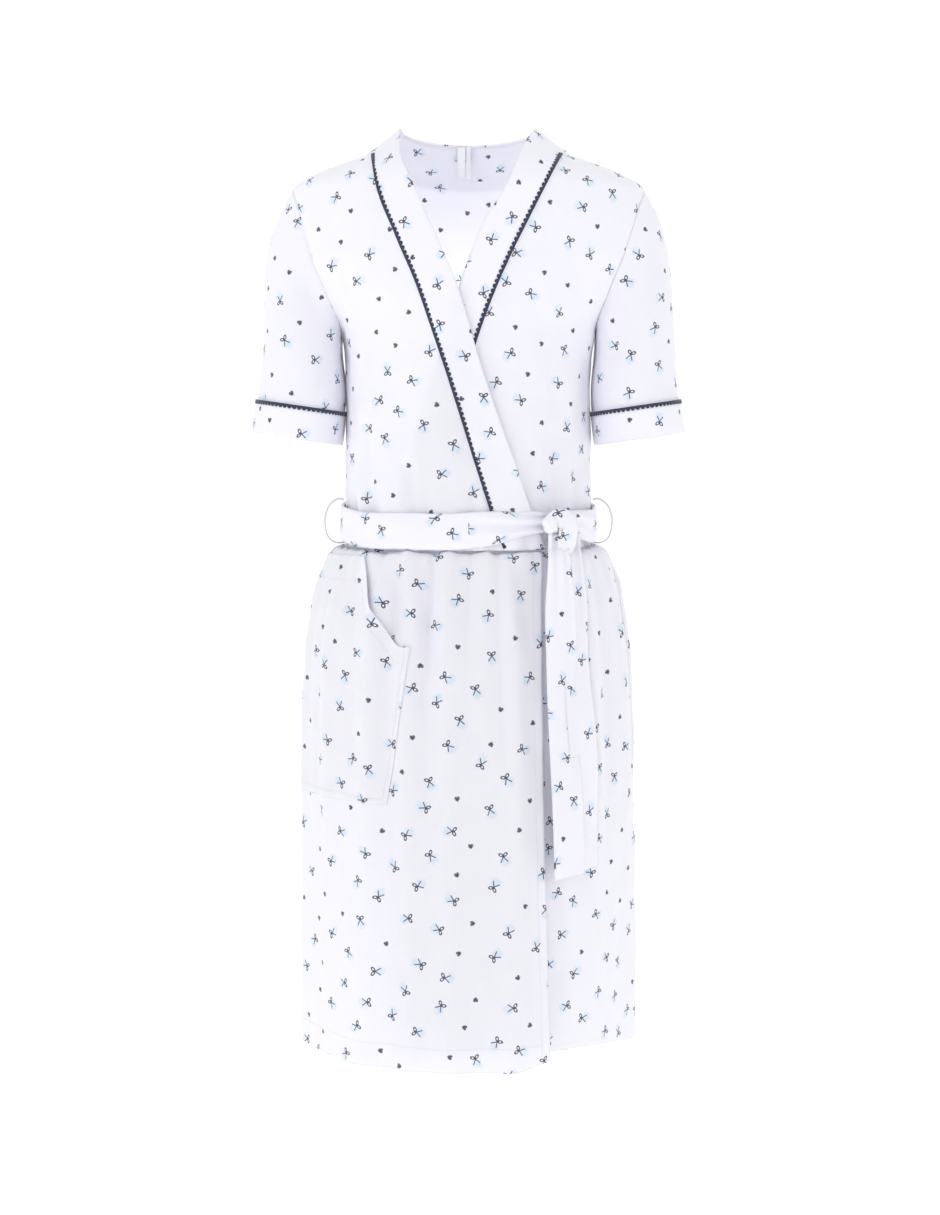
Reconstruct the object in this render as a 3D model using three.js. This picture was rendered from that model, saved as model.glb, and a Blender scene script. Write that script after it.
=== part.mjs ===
// Knee-length wrap dressing gown with short sleeves, a V neckband, a tied belt and a patch pocket.
// Units are millimetres. +Z is up, the front faces -Y, and "right" and "left" are the wearer's.
// The origin is where the hanger loop is sewn to the centre of the back neck.
// The right front laps over the left front. Every panel is a closed shell of cloth that is bent
// over one body form, so neighbouring panels take their edges from the same curves.
import * as THREE from 'three';
import { mergeVertices } from 'three/addons/utils/BufferGeometryUtils.js';

// ---------------------------------------------------------------- driving dimensions
// Neck and shoulders
const neckHalfWidth = 70; // centre to the high shoulder point
const neckRise = 9; // high shoulder point above the centre of the back neck
const neckBackDepth = 60; // body axis to the back neck edge
const shoulderHalfWidth = 184; // centre to the top of the armhole
const shoulderDrop = 63; // high shoulder point to the top of the armhole
const armholeDepth = 151; // top of the armhole to the underarm
const armholeSpread = 0.5; // half width of the armhole round the body, in radians

// Body
const bodyHalfWidth = 130; // below the underarm, down to the waist
const chestDepth = 108; // body axis to the front
const backDepth = 94; // body axis to the back
const waistDrop = 426; // back neck to the waist seam

// Skirt
const skirtLength = 529; // waist seam to hem
const skirtPuff = 11; // how far the gathered skirt steps out right under the belt
const skirtFlareSide = 37; // further spread from there to the hem, at each side
const skirtFlareFront = 44;
const skirtFlareBack = 52;
const puffDrop = 3; // depth over which the step is taken
const sideFlareDrop = 80; // depth over which the side flare settles
const frontFlareDrop = 200;
const overEdgeWaist = 75; // centre to the free front edge, at the waist
const overEdgeHem = 85;
const underEdge = 84; // the hidden free edge of the left skirt front
const underSetback = 14; // how far the left skirt front hangs behind the right one at the hem
const underHemLift = 12;

// Wrap front: where the neckband's seam and its free edge cross, measured from the centre
const bandRise = 15; // the neckband seam crosses the shoulder this far below the back neck
const vDepth = 162; // back neck down to the point of the V
const overSeamAtV = 50;
const overFreeAtV = 10;
const overSeamWaist = 34;
const overFreeWaist = 76;
const underSeamAtV = 28;
const underSeamWaist = 45;
const underFreeWaist = 84;
const backBandWidth = 46;

// Sleeves and cuffs
const sleeveDrop = 218; // top of the armhole to the outer end of the cuff seam
const cuffHalfWidth = 43; // sleeve opening, across
const cuffHalfDepth = 60; // sleeve opening, front to back
const cuffHeight = 35;
const cuffTilt = 8.2; // degrees that the sleeve leans away from the body
const sleeveClearance = 7; // inside of the sleeve to the body, at the cuff seam

// Belt
const beltWidth = 37;
const beltAboveSeam = 6.5; // waist seam to the lower edge of the belt, at the sides
const beltTilt = 0.048; // the belt is lower in front than behind
const beltThickness = 4;
const knotAngle = 33.7; // degrees round from the centre front
const tailFrontLength = 332;
const tailBackLength = 329;
const tailThickness = 2.4;

// Pocket
const pocketTop = 97; // waist seam to the low inner corner of the slanted mouth
const pocketTopGap = 8; // waist seam to the pocket's upper edge, beside the mouth
const pocketHeight = 160;
const pocketBulge = 10;
const mouthTop = [0.6, 0.76]; // shares of the pocket's width over which its mouth climbs to the belt
const mouthFoot = [0.68, 0.94]; // and over which it turns in to the inner corner
const mouthBend = 42; // height of that turn
const pocketSideAngle = 84; // degrees round from the centre front
const pocketInnerTop = 57; // centre to the pocket's inner edge
const pocketInnerBottom = 84;

// Cloth, trims and small parts
const cloth = 1.2;
const bandThickness = 2;
const bandProud = 0.5;
const trimWidth = 4.5;
const trimThickness = 0.8;
const overLift = 5; // the right front lies this far outside the left one
const carrierRadius = 0.8;
const carrierReach = 23;
const carrierOverBelt = 5; // room for the belt above it, inside the thread loop
const carrierUnderBelt = 3.7;
const labelWidth = 8.6;
const labelLength = 32;
const labelThickness = 0.6;
const loopTape = 4.6;
const loopLength = 35;
const loopEye = 7;
const loopThickness = 1;

// Clearances
const seamGap = 0.5; // half of the gap along a seam
const armholeGap = 108 / (shoulderHalfWidth - bodyHalfWidth); // a steeper armhole needs more room
const beltClearance = 9.5; // belt to the body, room for the layers of the wrap
const layerGap = 0.3;
const trimGap = 0.7;

// ---------------------------------------------------------------- heights and helpers
const zNeck = neckRise;
const zShoulder = zNeck - shoulderDrop;
const zUnderarm = zShoulder - armholeDepth;
const zWaist = -waistDrop;
const zHem = zWaist - skirtLength;
const zBelt = zWaist + beltAboveSeam + beltWidth / 2; // middle of the belt, at the sides
const zSeamTop = -bandRise;
const zV = -vDepth;
const rad = THREE.MathUtils.degToRad;
const { lerp, smoothstep } = THREE.MathUtils;
const quarter = Math.PI / 2;

/** Smooth function through [z, value] stations that never swings past them. */
function smoothCurve(stations) {
  const points = [...stations].sort((p, q) => p[0] - q[0]);
  const last = points.length - 1;
  const slopes = points.slice(1).map((p, i) => (p[1] - points[i][1]) / (p[0] - points[i][0]));
  const tangents = points.map((_, i) => {
    if (i === 0) return slopes[0];
    if (i === last) return slopes[last - 1];
    const [before, after] = [slopes[i - 1], slopes[i]];
    return before * after > 0 ? (2 * before * after) / (before + after) : 0;
  });
  return (z) => {
    if (z <= points[0][0]) return points[0][1] + tangents[0] * (z - points[0][0]);
    if (z >= points[last][0]) return points[last][1] + tangents[last] * (z - points[last][0]);
    const i = points.findIndex((p) => p[0] > z) - 1;
    const span = points[i + 1][0] - points[i][0];
    const t = (z - points[i][0]) / span;
    const rise = points[i + 1][1] - points[i][1];
    const bendIn = tangents[i] * span - rise;
    const bendOut = rise - tangents[i + 1] * span;
    return lerp(points[i][1], points[i + 1][1], t) + t * (1 - t) * (bendIn * (1 - t) + bendOut * t);
  };
}

// ---------------------------------------------------------------- the body form
/** A height part of the way down the shoulder, and the half width that goes with it. */
const shoulderStation = (drop, reach) => [
  zNeck - drop * shoulderDrop,
  lerp(neckHalfWidth, shoulderHalfWidth, reach),
];
/** A height part of the way down the armhole, and the half width that goes with it. */
const armholeStation = (drop, reach) => [
  zShoulder - drop * armholeDepth,
  lerp(bodyHalfWidth, shoulderHalfWidth, reach),
];

const bodyWidth = smoothCurve([
  shoulderStation(0, 0),
  shoulderStation(0.41, 0.3),
  shoulderStation(0.76, 0.8),
  shoulderStation(1, 1),
  armholeStation(0.25, 1.07),
  armholeStation(0.45, 0.98),
  armholeStation(0.7, 0.6),
  armholeStation(1, 0.07),
  armholeStation(1.2, 0),
  [zWaist, bodyHalfWidth],
]);
const bodyFront = smoothCurve([
  [zNeck, neckBackDepth - 2],
  [zSeamTop, lerp(neckBackDepth, chestDepth, 0.33)],
  [zShoulder, lerp(neckBackDepth, chestDepth, 0.72)],
  [lerp(zShoulder, zUnderarm, 0.45), chestDepth - 4],
  [zUnderarm, chestDepth],
  [zWaist, chestDepth - 3],
]);
const bodyBack = smoothCurve([
  [zNeck, neckBackDepth - 10],
  [0, neckBackDepth],
  [zSeamTop, lerp(neckBackDepth, backDepth, 0.3)],
  [zShoulder, lerp(neckBackDepth, backDepth, 0.75)],
  [zUnderarm, backDepth],
  [zWaist, backDepth - 4],
]);

/** Point of an oval section: angle 0 is the centre front and a right angle is the left side. */
const ovalPoint = (halfWidth, depth, angle, z) =>
  new THREE.Vector3(halfWidth * Math.sin(angle), -depth * Math.cos(angle), z);

/** The body form from the neck to the waist. */
function bodySurface(angle, z) {
  return ovalPoint(bodyWidth(z), Math.cos(angle) > 0 ? bodyFront(z) : bodyBack(z), angle, z);
}

const puffAt = (drop) => skirtPuff * (1 - Math.exp(-drop / puffDrop));
const skirtWidth = (z) =>
  bodyHalfWidth + 4 + puffAt(zWaist - z)
  + (skirtFlareSide - 4) * (1 - Math.exp(-(zWaist - z) / sideFlareDrop));
const skirtDepth = (z, top, flare) =>
  top + puffAt(zWaist - z) * 0.6 + flare * (1 - Math.exp(-(zWaist - z) / frontFlareDrop));
const skirtFront = (z) => skirtDepth(z, bodyFront(zWaist), skirtFlareFront);
const skirtBack = (z) => skirtDepth(z, bodyBack(zWaist), skirtFlareBack);

/** The skirt form from the waist to the hem. */
function skirtSurface(angle, z) {
  return ovalPoint(skirtWidth(z), Math.cos(angle) > 0 ? skirtFront(z) : skirtBack(z), angle, z);
}

/** Outward normal of a form at an angle and a height. */
function normalAt(surface, angle, z) {
  const step = 0.01;
  const across = surface(angle + step, z).sub(surface(angle - step, z));
  const up = surface(angle, z + step).sub(surface(angle, z - step));
  return across.cross(up).normalize();
}

/** Angle on the front of the body at which x is reached. */
const frontAngle = (x, z, width = bodyWidth) => Math.asin(THREE.MathUtils.clamp(x / width(z), -1, 1));

// ---------------------------------------------------------------- shells
/** Finishes a shell: one skin of shared vertices with its faces pointing out. */
function closedShell(geometry) {
  geometry.deleteAttribute('normal');
  geometry.deleteAttribute('uv');
  const shell = mergeVertices(geometry, 1e-4);
  shell.computeVertexNormals();
  return shell;
}

/** Sheet of cloth: place(u, v, w) puts each point, with w running from the inside to the outside. */
function bentSheet(columns, rows, place) {
  const geometry = new THREE.BoxGeometry(1, 1, 1, columns, rows, 1);
  const { position } = geometry.attributes;
  for (let i = 0; i < position.count; i += 1) {
    const point = place(position.getX(i) + 0.5, position.getY(i) + 0.5, position.getZ(i) + 0.5);
    position.setXYZ(i, point.x, point.y, point.z);
  }
  return closedShell(geometry);
}

/** Tube of cloth: place(turn, v, w) puts each point, with turn in radians round the tube. */
function bentTube(segments, rows, place) {
  const wall = [];
  for (let i = 0; i <= rows; i += 1) wall.push(new THREE.Vector2(2, i / rows));
  for (let i = rows; i >= 0; i -= 1) wall.push(new THREE.Vector2(1, i / rows));
  wall.push(wall[0].clone());
  const geometry = new THREE.LatheGeometry(wall, segments);
  const { position } = geometry.attributes;
  for (let i = 0; i < position.count; i += 1) {
    const segment = Math.floor(i / wall.length) % segments;
    const { x: radius, y: v } = wall[i % wall.length];
    const point = place((segment / segments) * 2 * Math.PI, v, radius - 1);
    position.setXYZ(i, point.x, point.y, point.z);
  }
  return closedShell(geometry);
}

/** Shell on a form: domain(u, v) gives the angle and height, outside(angle, z, u, v) the outer face. */
function shellOn(surface, columns, rows, thickness, domain, outside = () => 0) {
  return bentSheet(columns, rows, (u, v, w) => {
    const [angle, z] = domain(u, v);
    const reach = outside(angle, z, u, v) - (1 - w) * thickness;
    return surface(angle, z).addScaledVector(normalAt(surface, angle, z), reach);
  });
}

const materials = {
  print: new THREE.MeshStandardMaterial({ color: 0xeceefa, roughness: 0.92, metalness: 0 }),
  band: new THREE.MeshStandardMaterial({ color: 0xf2f3fc, roughness: 0.9, metalness: 0 }),
  trim: new THREE.MeshStandardMaterial({ color: 0x1c2340, roughness: 0.75, metalness: 0 }),
  thread: new THREE.MeshStandardMaterial({ color: 0xf4f5fb, roughness: 0.8, metalness: 0 }),
  label: new THREE.MeshStandardMaterial({ color: 0xfafafa, roughness: 0.7, metalness: 0 }),
};

const gown = new THREE.Group();
gown.position.set(0, -(neckBackDepth - 3), 0);

function add(name, geometry, material) {
  const mesh = new THREE.Mesh(geometry, materials[material]);
  mesh.name = name;
  gown.add(mesh);
  return mesh;
}

// ---------------------------------------------------------------- bodice
const armholeSteps = 12; // rows of cloth along each side of the armhole
const zBodiceEnd = zWaist + 2 * seamGap;

const armholeHeight = (turn) => zShoulder - (armholeDepth * (1 - Math.cos(turn))) / 2;
const armholeAngle = (turn) => armholeSpread * Math.sin(turn);

/** Heights of the rows that every bodice panel and neckband share. */
const lowRows = [0, 1, 2, 3, 4].map((i) => lerp(zBodiceEnd, zUnderarm, i / 5));
const armholeRows = Array.from({ length: armholeSteps + 1 }, (_, i) =>
  armholeHeight(Math.PI * (1 - i / armholeSteps)));
const shoulderRows = [0.4, 0.7, 0.9].map((share) => lerp(zShoulder, zSeamTop, share));
const panelRows = [...lowRows, ...armholeRows, ...shoulderRows];
const bandRows = [...panelRows, zSeamTop];

/** How far the armhole cuts into a panel at a height, in radians from the side. */
function armholeCut(z) {
  const share = (zShoulder - z) / armholeDepth;
  if (share <= 0 || share >= 1) return 0;
  return armholeSpread * Math.sqrt(1 - (1 - 2 * share) ** 2);
}

const gapAngle = (z) => seamGap / bodyWidth(z);
const overSide = -1; // the right front, at -X
const underSide = 1;

const wrapCurves = {
  [overSide]: {
    seam: smoothCurve([
      [zSeamTop, -bodyWidth(zSeamTop)],
      [lerp(zSeamTop, zV, 0.31), -1.85 * overSeamAtV],
      [lerp(zSeamTop, zV, 0.67), -1.42 * overSeamAtV],
      [zV, -overSeamAtV],
      [lerp(zV, zWaist, 0.85), overSeamWaist - 13],
      [zWaist, overSeamWaist],
    ]),
    free: smoothCurve([
      [zNeck, -neckHalfWidth],
      [-bandRise, -neckHalfWidth],
      [-bandRise - 41, -0.8 * neckHalfWidth],
      [lerp(zSeamTop, zV, 0.67), -3 * overFreeAtV],
      [zV, -overFreeAtV],
      [lerp(zV, zWaist, 0.31), 0.18 * overFreeWaist],
      [lerp(zV, zWaist, 0.67), 0.6 * overFreeWaist],
      [zWaist, overFreeWaist],
    ]),
  },
  [underSide]: {
    seam: smoothCurve([
      [zSeamTop, bodyWidth(zSeamTop)],
      [lerp(zSeamTop, zV, 0.35), 2.64 * underSeamAtV],
      [zV, underSeamAtV],
      [lerp(zV, zWaist, 0.22), 0.25 * underSeamAtV],
      [zWaist, -underSeamWaist],
    ]),
    free: smoothCurve([
      [zNeck, neckHalfWidth],
      [-bandRise, 0.8 * neckHalfWidth],
      [-bandRise - 41, 0.56 * neckHalfWidth],
      [lerp(zSeamTop, zV, 0.58), 0.19 * neckHalfWidth],
      [zV, -overFreeAtV],
      [zWaist, -underFreeWaist],
    ]),
  },
};

/** How far outside the form a front panel lies: the right front rises over the left one. */
function wrapLift(side) {
  if (side === underSide) return () => 0;
  return (angle, z) =>
    overLift * smoothstep(angle, rad(-85), rad(-50)) * smoothstep(-z, -zShoulder, vDepth - 10);
}

function frontPanel(side) {
  const rows = panelRows.length - 1;
  const lift = wrapLift(side);
  const domain = (u, v) => {
    const z = panelRows[Math.round(v * rows)];
    const sideAngle = side * (quarter - armholeCut(z) - gapAngle(z));
    const seamAngle = frontAngle(wrapCurves[side].seam(z), z) + side * gapAngle(z);
    return side === overSide ? [lerp(sideAngle, seamAngle, u), z] : [lerp(seamAngle, sideAngle, u), z];
  };
  return shellOn(bodySurface, 10, rows, cloth, domain, lift);
}

/** Strip along the front neckband; shares of its width, from the seam out, place its columns. */
function frontBand(side, shares, thickness, proud) {
  const rows = bandRows.length - 1;
  const columns = shares.length - 1;
  const lift = wrapLift(side);
  const curves = wrapCurves[side];
  const domain = (u, v) => {
    const zSeam = bandRows[Math.round(v * rows)];
    const zFree = lerp(zBodiceEnd, zNeck, (zSeam - zBodiceEnd) / (zSeamTop - zBodiceEnd));
    const seamAngle = frontAngle(curves.seam(zSeam), zSeam) - side * gapAngle(zSeam);
    const share = shares[Math.round((side === overSide ? u : 1 - u) * columns)];
    const angle = lerp(seamAngle, frontAngle(curves.free(zFree), zFree), share);
    const limit = quarter - gapAngle(zFree);
    return [THREE.MathUtils.clamp(angle, -limit, limit), lerp(zSeam, zFree, share)];
  };
  return shellOn(bodySurface, columns, rows, thickness, domain, (angle, z) => lift(angle, z) + proud);
}

const backColumns = 20;
/** Angle and height on the back neck: share 0 is the band's seam and 1 its free top edge. */
function backNeck(turn, share) {
  const zEnd = lerp(zSeamTop, zNeck, share);
  const dip = lerp(backBandWidth - bandRise, neckRise, share);
  const z = zEnd - dip * Math.sin(turn);
  const angle = Math.asin(THREE.MathUtils.clamp((bodyWidth(zEnd) * Math.cos(turn)) / bodyWidth(z), -1, 1));
  const limit = quarter - gapAngle(z);
  return [Math.PI - THREE.MathUtils.clamp(angle, -limit, limit), z];
}

function backPanel() {
  const rows = panelRows.length - 1;
  const domain = (u, v) => {
    const level = panelRows[Math.round(v * rows)];
    const [topAngle, topHeight] = backNeck(u * Math.PI, 0);
    const rise = Math.max(0, (level - zShoulder) / (panelRows[rows] - zShoulder));
    const z = level <= zShoulder ? level : lerp(zShoulder, topHeight - 2 * seamGap, rise);
    const cut = armholeCut(z) + gapAngle(z);
    const share = lerp(u, (topAngle - quarter) / Math.PI, rise);
    return [lerp(quarter + cut, 3 * quarter - cut, share), z];
  };
  return shellOn(bodySurface, backColumns, rows, cloth, domain);
}

/** Strip along the back neckband, with its rows at shares of its width from the seam up. */
function backBand(shares, thickness, proud) {
  const rows = shares.length - 1;
  const domain = (u, v) => backNeck(u * Math.PI, shares[Math.round(v * rows)]);
  return shellOn(bodySurface, backColumns, rows, thickness, domain, () => proud);
}

add('bodice_back', backPanel(), 'print');
add('bodice_front_over', frontPanel(overSide), 'print');
add('bodice_front_under', frontPanel(underSide), 'print');

const trimShares = [0, trimWidth / backBandWidth];
const bandShares = [...trimShares, 0.4, 0.7, 1];
const trimProud = bandProud + trimGap + trimThickness;
add('neckband_back', backBand(bandShares, bandThickness, bandProud), 'band');
add('neckband_over', frontBand(overSide, bandShares, bandThickness, bandProud), 'band');
add('neckband_under', frontBand(underSide, bandShares, bandThickness, bandProud), 'band');
add('neck_trim_back', backBand(trimShares, trimThickness, trimProud), 'trim');
add('neck_trim_over', frontBand(overSide, trimShares, trimThickness, trimProud), 'trim');
add('neck_trim_under', frontBand(underSide, trimShares, trimThickness, trimProud), 'trim');

// ---------------------------------------------------------------- sleeves and cuffs
/** One sleeve with its cuff and trim; side is -1 for the right sleeve and 1 for the left. */
function addSleeve(side, word) {
  const steps = 2 * armholeSteps;
  const lean = rad(cuffTilt);
  const across = new THREE.Vector3(side * Math.cos(lean), 0, Math.sin(lean));
  const along = new THREE.Vector3(side * Math.sin(lean), 0, -Math.cos(lean));
  const cuffOuter = bodyHalfWidth + sleeveClearance + 2 * cuffHalfWidth * Math.cos(lean);
  const seamCentre = new THREE.Vector3(side * cuffOuter, -4, zShoulder - sleeveDrop)
    .addScaledVector(across, -cuffHalfWidth);

  /** Point on the oval of the sleeve's end, a distance below the cuff seam. */
  const cuffPoint = (turn, below, reach) => {
    const spread = reach + below * 0.03;
    return seamCentre.clone()
      .addScaledVector(along, below)
      .addScaledVector(across, (cuffHalfWidth + spread) * Math.cos(turn))
      .add(new THREE.Vector3(0, -(cuffHalfDepth + spread) * Math.sin(turn), 0));
  };
  const sleevePoint = (turn, v) => {
    const z = armholeHeight(turn);
    const start = bodySurface(side * (quarter - armholeAngle(turn)), z);
    const outward = 0.51 + 0.16 * Math.sin(turn) ** 2;
    const off = new THREE.Vector3(side * outward, 0, -Math.sqrt(1 - outward ** 2));
    start.addScaledVector(off, armholeGap);
    const end = cuffPoint(turn, -2 * seamGap, 0);
    const pull = start.distanceTo(end) * 0.4;
    const bend = new THREE.CubicBezierCurve3(
      start,
      start.clone().addScaledVector(off, pull),
      end.clone().addScaledVector(along, -pull),
      end,
    );
    return bend.getPoint(v);
  };
  const sleeveNormal = (turn, v) => {
    const step = 0.01;
    const round = sleevePoint(turn + step, v).sub(sleevePoint(turn - step, v));
    const [low, high] = [Math.max(0, v - step), Math.min(1, v + step)];
    const down = sleevePoint(turn, high).sub(sleevePoint(turn, low));
    return round.cross(down).multiplyScalar(side).normalize();
  };
  /** The tube's turn runs the other way on the right side, so that both skins face out. */
  const turned = (turn) => (side === overSide ? turn : -turn);

  add(`sleeve_${word}`, bentTube(steps, 6, (turn, v, w) => {
    const point = sleevePoint(turned(turn), 1 - v);
    return point.addScaledVector(sleeveNormal(turned(turn), 1 - v), -(1 - w) * cloth);
  }), 'print');
  add(`cuff_${word}`, bentTube(steps, 1, (turn, v, w) =>
    cuffPoint(turned(turn), lerp(cuffHeight, 0, v), 0.8 - (1 - w) * bandThickness)), 'band');
  add(`cuff_trim_${word}`, bentTube(steps, 1, (turn, v, w) =>
    cuffPoint(turned(turn), lerp(trimWidth, layerGap, v), 0.8 + layerGap + w * trimThickness)), 'trim');
}

addSleeve(overSide, 'right');
addSleeve(underSide, 'left');

// ---------------------------------------------------------------- skirt and pocket
const skirtRows = 11;
const topClearance = 1.5; // the free front clears the belt as it opens
const dropOf = (v, length) => length * (1 - v) ** 2.4;
const skirtGap = (z) => seamGap / skirtWidth(z);
const overEdge = (z) => lerp(overEdgeWaist, overEdgeHem, ((zWaist - z) / skirtLength) ** 2);

add('skirt_back', shellOn(skirtSurface, 20, skirtRows, cloth, (u, v) => {
  const z = zWaist - dropOf(v, skirtLength);
  return [lerp(quarter + skirtGap(z), 3 * quarter - skirtGap(z), u), z];
}), 'print');

add('skirt_front_over', shellOn(skirtSurface, 14, skirtRows, cloth, (u, v) => {
  const z = zWaist - topClearance - dropOf(v, skirtLength - topClearance);
  return [lerp(-quarter + skirtGap(z), frontAngle(overEdge(z), z, skirtWidth), u), z];
}), 'print');

/** 0 at the left side seam, 1 where the left skirt front is under the right one. */
const underShare = (angle) => smoothstep(-angle, rad(-85), rad(-45));
add('skirt_front_under', shellOn(
  skirtSurface, 14, skirtRows, cloth,
  (u, v) => {
    const level = zWaist - dropOf(v, skirtLength);
    const angle = lerp(frontAngle(-underEdge, level, skirtWidth), quarter - skirtGap(level), u);
    return [angle, zWaist - dropOf(v, skirtLength - underHemLift * underShare(angle))];
  },
  (angle, z) => -underShare(angle) * lerp(3, underSetback, (zWaist - z) / skirtLength),
), 'print');

const zPocketTop = zWaist - pocketTop;
const zPocketEnd = zPocketTop - pocketHeight;
/** Height of the mouth: level with the corner at the inner side, and up beside the belt further round. */
const pocketMouth = (u) =>
  zPocketTop + mouthBend * (1 - smoothstep(u, ...mouthFoot))
  + (pocketTop - pocketTopGap - mouthBend) * (1 - smoothstep(u, ...mouthTop));
/** How full the pocket is at a height: fullest just below the corner of its mouth. */
const pocketFill = (z) => {
  if (z < zPocketTop) return ((z - zPocketEnd) / pocketHeight) ** 0.7;
  return 1 - 0.9 * smoothstep(z, zPocketTop, zWaist - pocketTopGap);
};
add('pocket', shellOn(
  skirtSurface, 24, 12, cloth,
  (u, v) => {
    const z = lerp(zPocketEnd, pocketMouth(u), v);
    const rise = Math.min(1, (z - zPocketEnd) / pocketHeight);
    const inner = frontAngle(-lerp(pocketInnerBottom, pocketInnerTop, rise), z, skirtWidth);
    return [lerp(-rad(pocketSideAngle), inner, u), z];
  },
  (angle, z, u) => 2 * layerGap + cloth + pocketBulge * Math.sin(Math.PI * u) * pocketFill(z),
), 'print');

// ---------------------------------------------------------------- belt, knot and tails
const beltOutside = beltClearance + beltThickness;
const beltHeight = (y, v) => zBelt + beltTilt * y + beltWidth * (v - 0.5);

add('belt_band', bentTube(48, 1, (turn, v, w) => {
  const reach = beltClearance + w * beltThickness;
  const point = bodySurface(turn, zBelt).addScaledVector(normalAt(bodySurface, turn, zBelt), reach);
  return point.setZ(beltHeight(point.y, v));
}), 'print');

const knotSize = new THREE.Vector3(10, 9, 11);
const foldSize = new THREE.Vector3(9, 5, 16);
/** Rounded lump of cloth lying on the outside of the belt. */
function beltLump(size, angle, rise) {
  const normal = normalAt(bodySurface, angle, zBelt);
  const reach = beltOutside + layerGap + size.y;
  const centre = bodySurface(angle, zBelt).addScaledVector(normal, reach);
  const lump = new THREE.SphereGeometry(1, 16, 10);
  lump.scale(size.x, size.y, size.z);
  lump.rotateZ(Math.atan2(normal.x, -normal.y));
  lump.translate(centre.x, centre.y, beltHeight(centre.y, 0.5) + rise);
  return { geometry: closedShell(lump), centre };
}
const knot = beltLump(knotSize, rad(knotAngle), 6.5);
const knotReach = (knotSize.x + foldSize.x + 3) / (bodyHalfWidth + beltOutside);
add('belt_knot', knot.geometry, 'print');
add('belt_fold', beltLump(foldSize, rad(knotAngle) + knotReach, 0.5).geometry, 'print');

/** Hanging end of the belt: a flat strip that falls from the knot onto the skirt. */
function beltTail(length, topX, endX, topReach, restReach, topTurn, endTurn) {
  const zTop = beltHeight(knot.centre.y, 0) - layerGap;
  return bentSheet(2, 12, (u, v, w) => {
    const drop = length * (1 - v) ** 1.5;
    const z = zTop - drop;
    const zSkirt = Math.min(z, zWaist);
    const x = lerp(topX, endX, drop / length);
    const settle = Math.exp(-drop / 45);
    const y = -skirtFront(zSkirt) * Math.cos(frontAngle(x, zSkirt, skirtWidth))
      - lerp(restReach, topReach, settle);
    const turn = rad(lerp(endTurn, topTurn, Math.exp(-drop / 80)));
    const across = new THREE.Vector3(Math.cos(turn), Math.sin(turn), 0);
    const outward = new THREE.Vector3(Math.sin(turn), -Math.cos(turn), 0);
    return new THREE.Vector3(x, y, z)
      .addScaledVector(across, beltWidth * (u - 0.5))
      .addScaledVector(outward, (w - 1) * tailThickness);
  });
}
const knotX = knot.centre.x;
add('belt_tail_front', beltTail(tailFrontLength, knotX + 13, knotX + 24, 28, 12, 25, 37), 'print');
add('belt_tail_back', beltTail(tailBackLength, knotX + 22, knotX + 40, 13, 3.3, 35, 43), 'print');

/** Thread loop at a side seam that holds the belt. */
function beltCarrier(side) {
  const seamX = side * (bodyHalfWidth + carrierRadius + layerGap);
  const outX = side * (bodyHalfWidth + carrierReach);
  const [top, bottom] = [beltHeight(0, 1) + carrierOverBelt, beltHeight(0, 0) - carrierUnderBelt];
  const bow = [[0, 0], [0.6, 0], [0.9, 0.2], [1, 0.5], [0.92, 0.8], [0.68, 1], [0, 1]];
  const route = new THREE.CatmullRomCurve3(bow.map(([out, down]) =>
    new THREE.Vector3(lerp(seamX, outX, out), 0, lerp(top, bottom, down))));
  const round = new THREE.Shape().absarc(0, 0, carrierRadius, 0, 2 * Math.PI);
  return closedShell(new THREE.ExtrudeGeometry(round, { steps: 16, curveSegments: 4, extrudePath: route }));
}
add('belt_carrier_right', beltCarrier(overSide), 'thread');
add('belt_carrier_left', beltCarrier(underSide), 'thread');

// ---------------------------------------------------------------- label and hanger loop
const sewnY = neckBackDepth - 3;
const sewnDrop = 1.5;
const label = new THREE.BoxGeometry(labelWidth, labelThickness, labelLength);
label.translate(-(loopTape + labelWidth) / 2 - 1, sewnY, -sewnDrop - labelLength / 2);
add('neck_label', closedShell(label), 'label');

/** Narrow tape folded into a loop; its eye runs from side to side. */
function hangerLoop() {
  const half = loopEye / 2 + loopThickness;
  const outline = (inset) => {
    const path = new THREE.Path();
    const r = half - inset;
    const low = -loopLength + half;
    path.moveTo(-r * 0.3, -inset * 2);
    path.quadraticCurveTo(-r, low * 0.4, -r, low);
    path.absarc(0, low, r, Math.PI, 2 * Math.PI, false);
    path.quadraticCurveTo(r, low * 0.4, r * 0.3, -inset * 2);
    path.closePath();
    return path;
  };
  const tape = new THREE.Shape(outline(0).getPoints(5));
  tape.holes.push(new THREE.Path(outline(loopThickness).getPoints(5)));
  const geometry = new THREE.ExtrudeGeometry(tape, { depth: loopTape, bevelEnabled: false });
  geometry.translate(0, 0, -loopTape / 2);
  geometry.rotateX(quarter);
  geometry.rotateZ(quarter);
  geometry.translate(0, sewnY, 0);
  return closedShell(geometry);
}
add('hanger_loop', hangerLoop(), 'label');

export default gown;
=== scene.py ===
"""Short-sleeved wrap gown of printed jersey, with picot trims, a tied belt and a patch pocket.

Lengths are in metres in the gown's own frame: +Z is up, the front faces -Y, and the origin is where
the hanger loop is sewn to the back neck. Each panel is a sheet of cloth laid over one body form and
then folded.
"""
import logging
import math
from collections.abc import Callable, Sequence
from dataclasses import dataclass, field
from enum import Enum

import bmesh
import bpy
import numpy as np
from mathutils import Matrix, Vector


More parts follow.
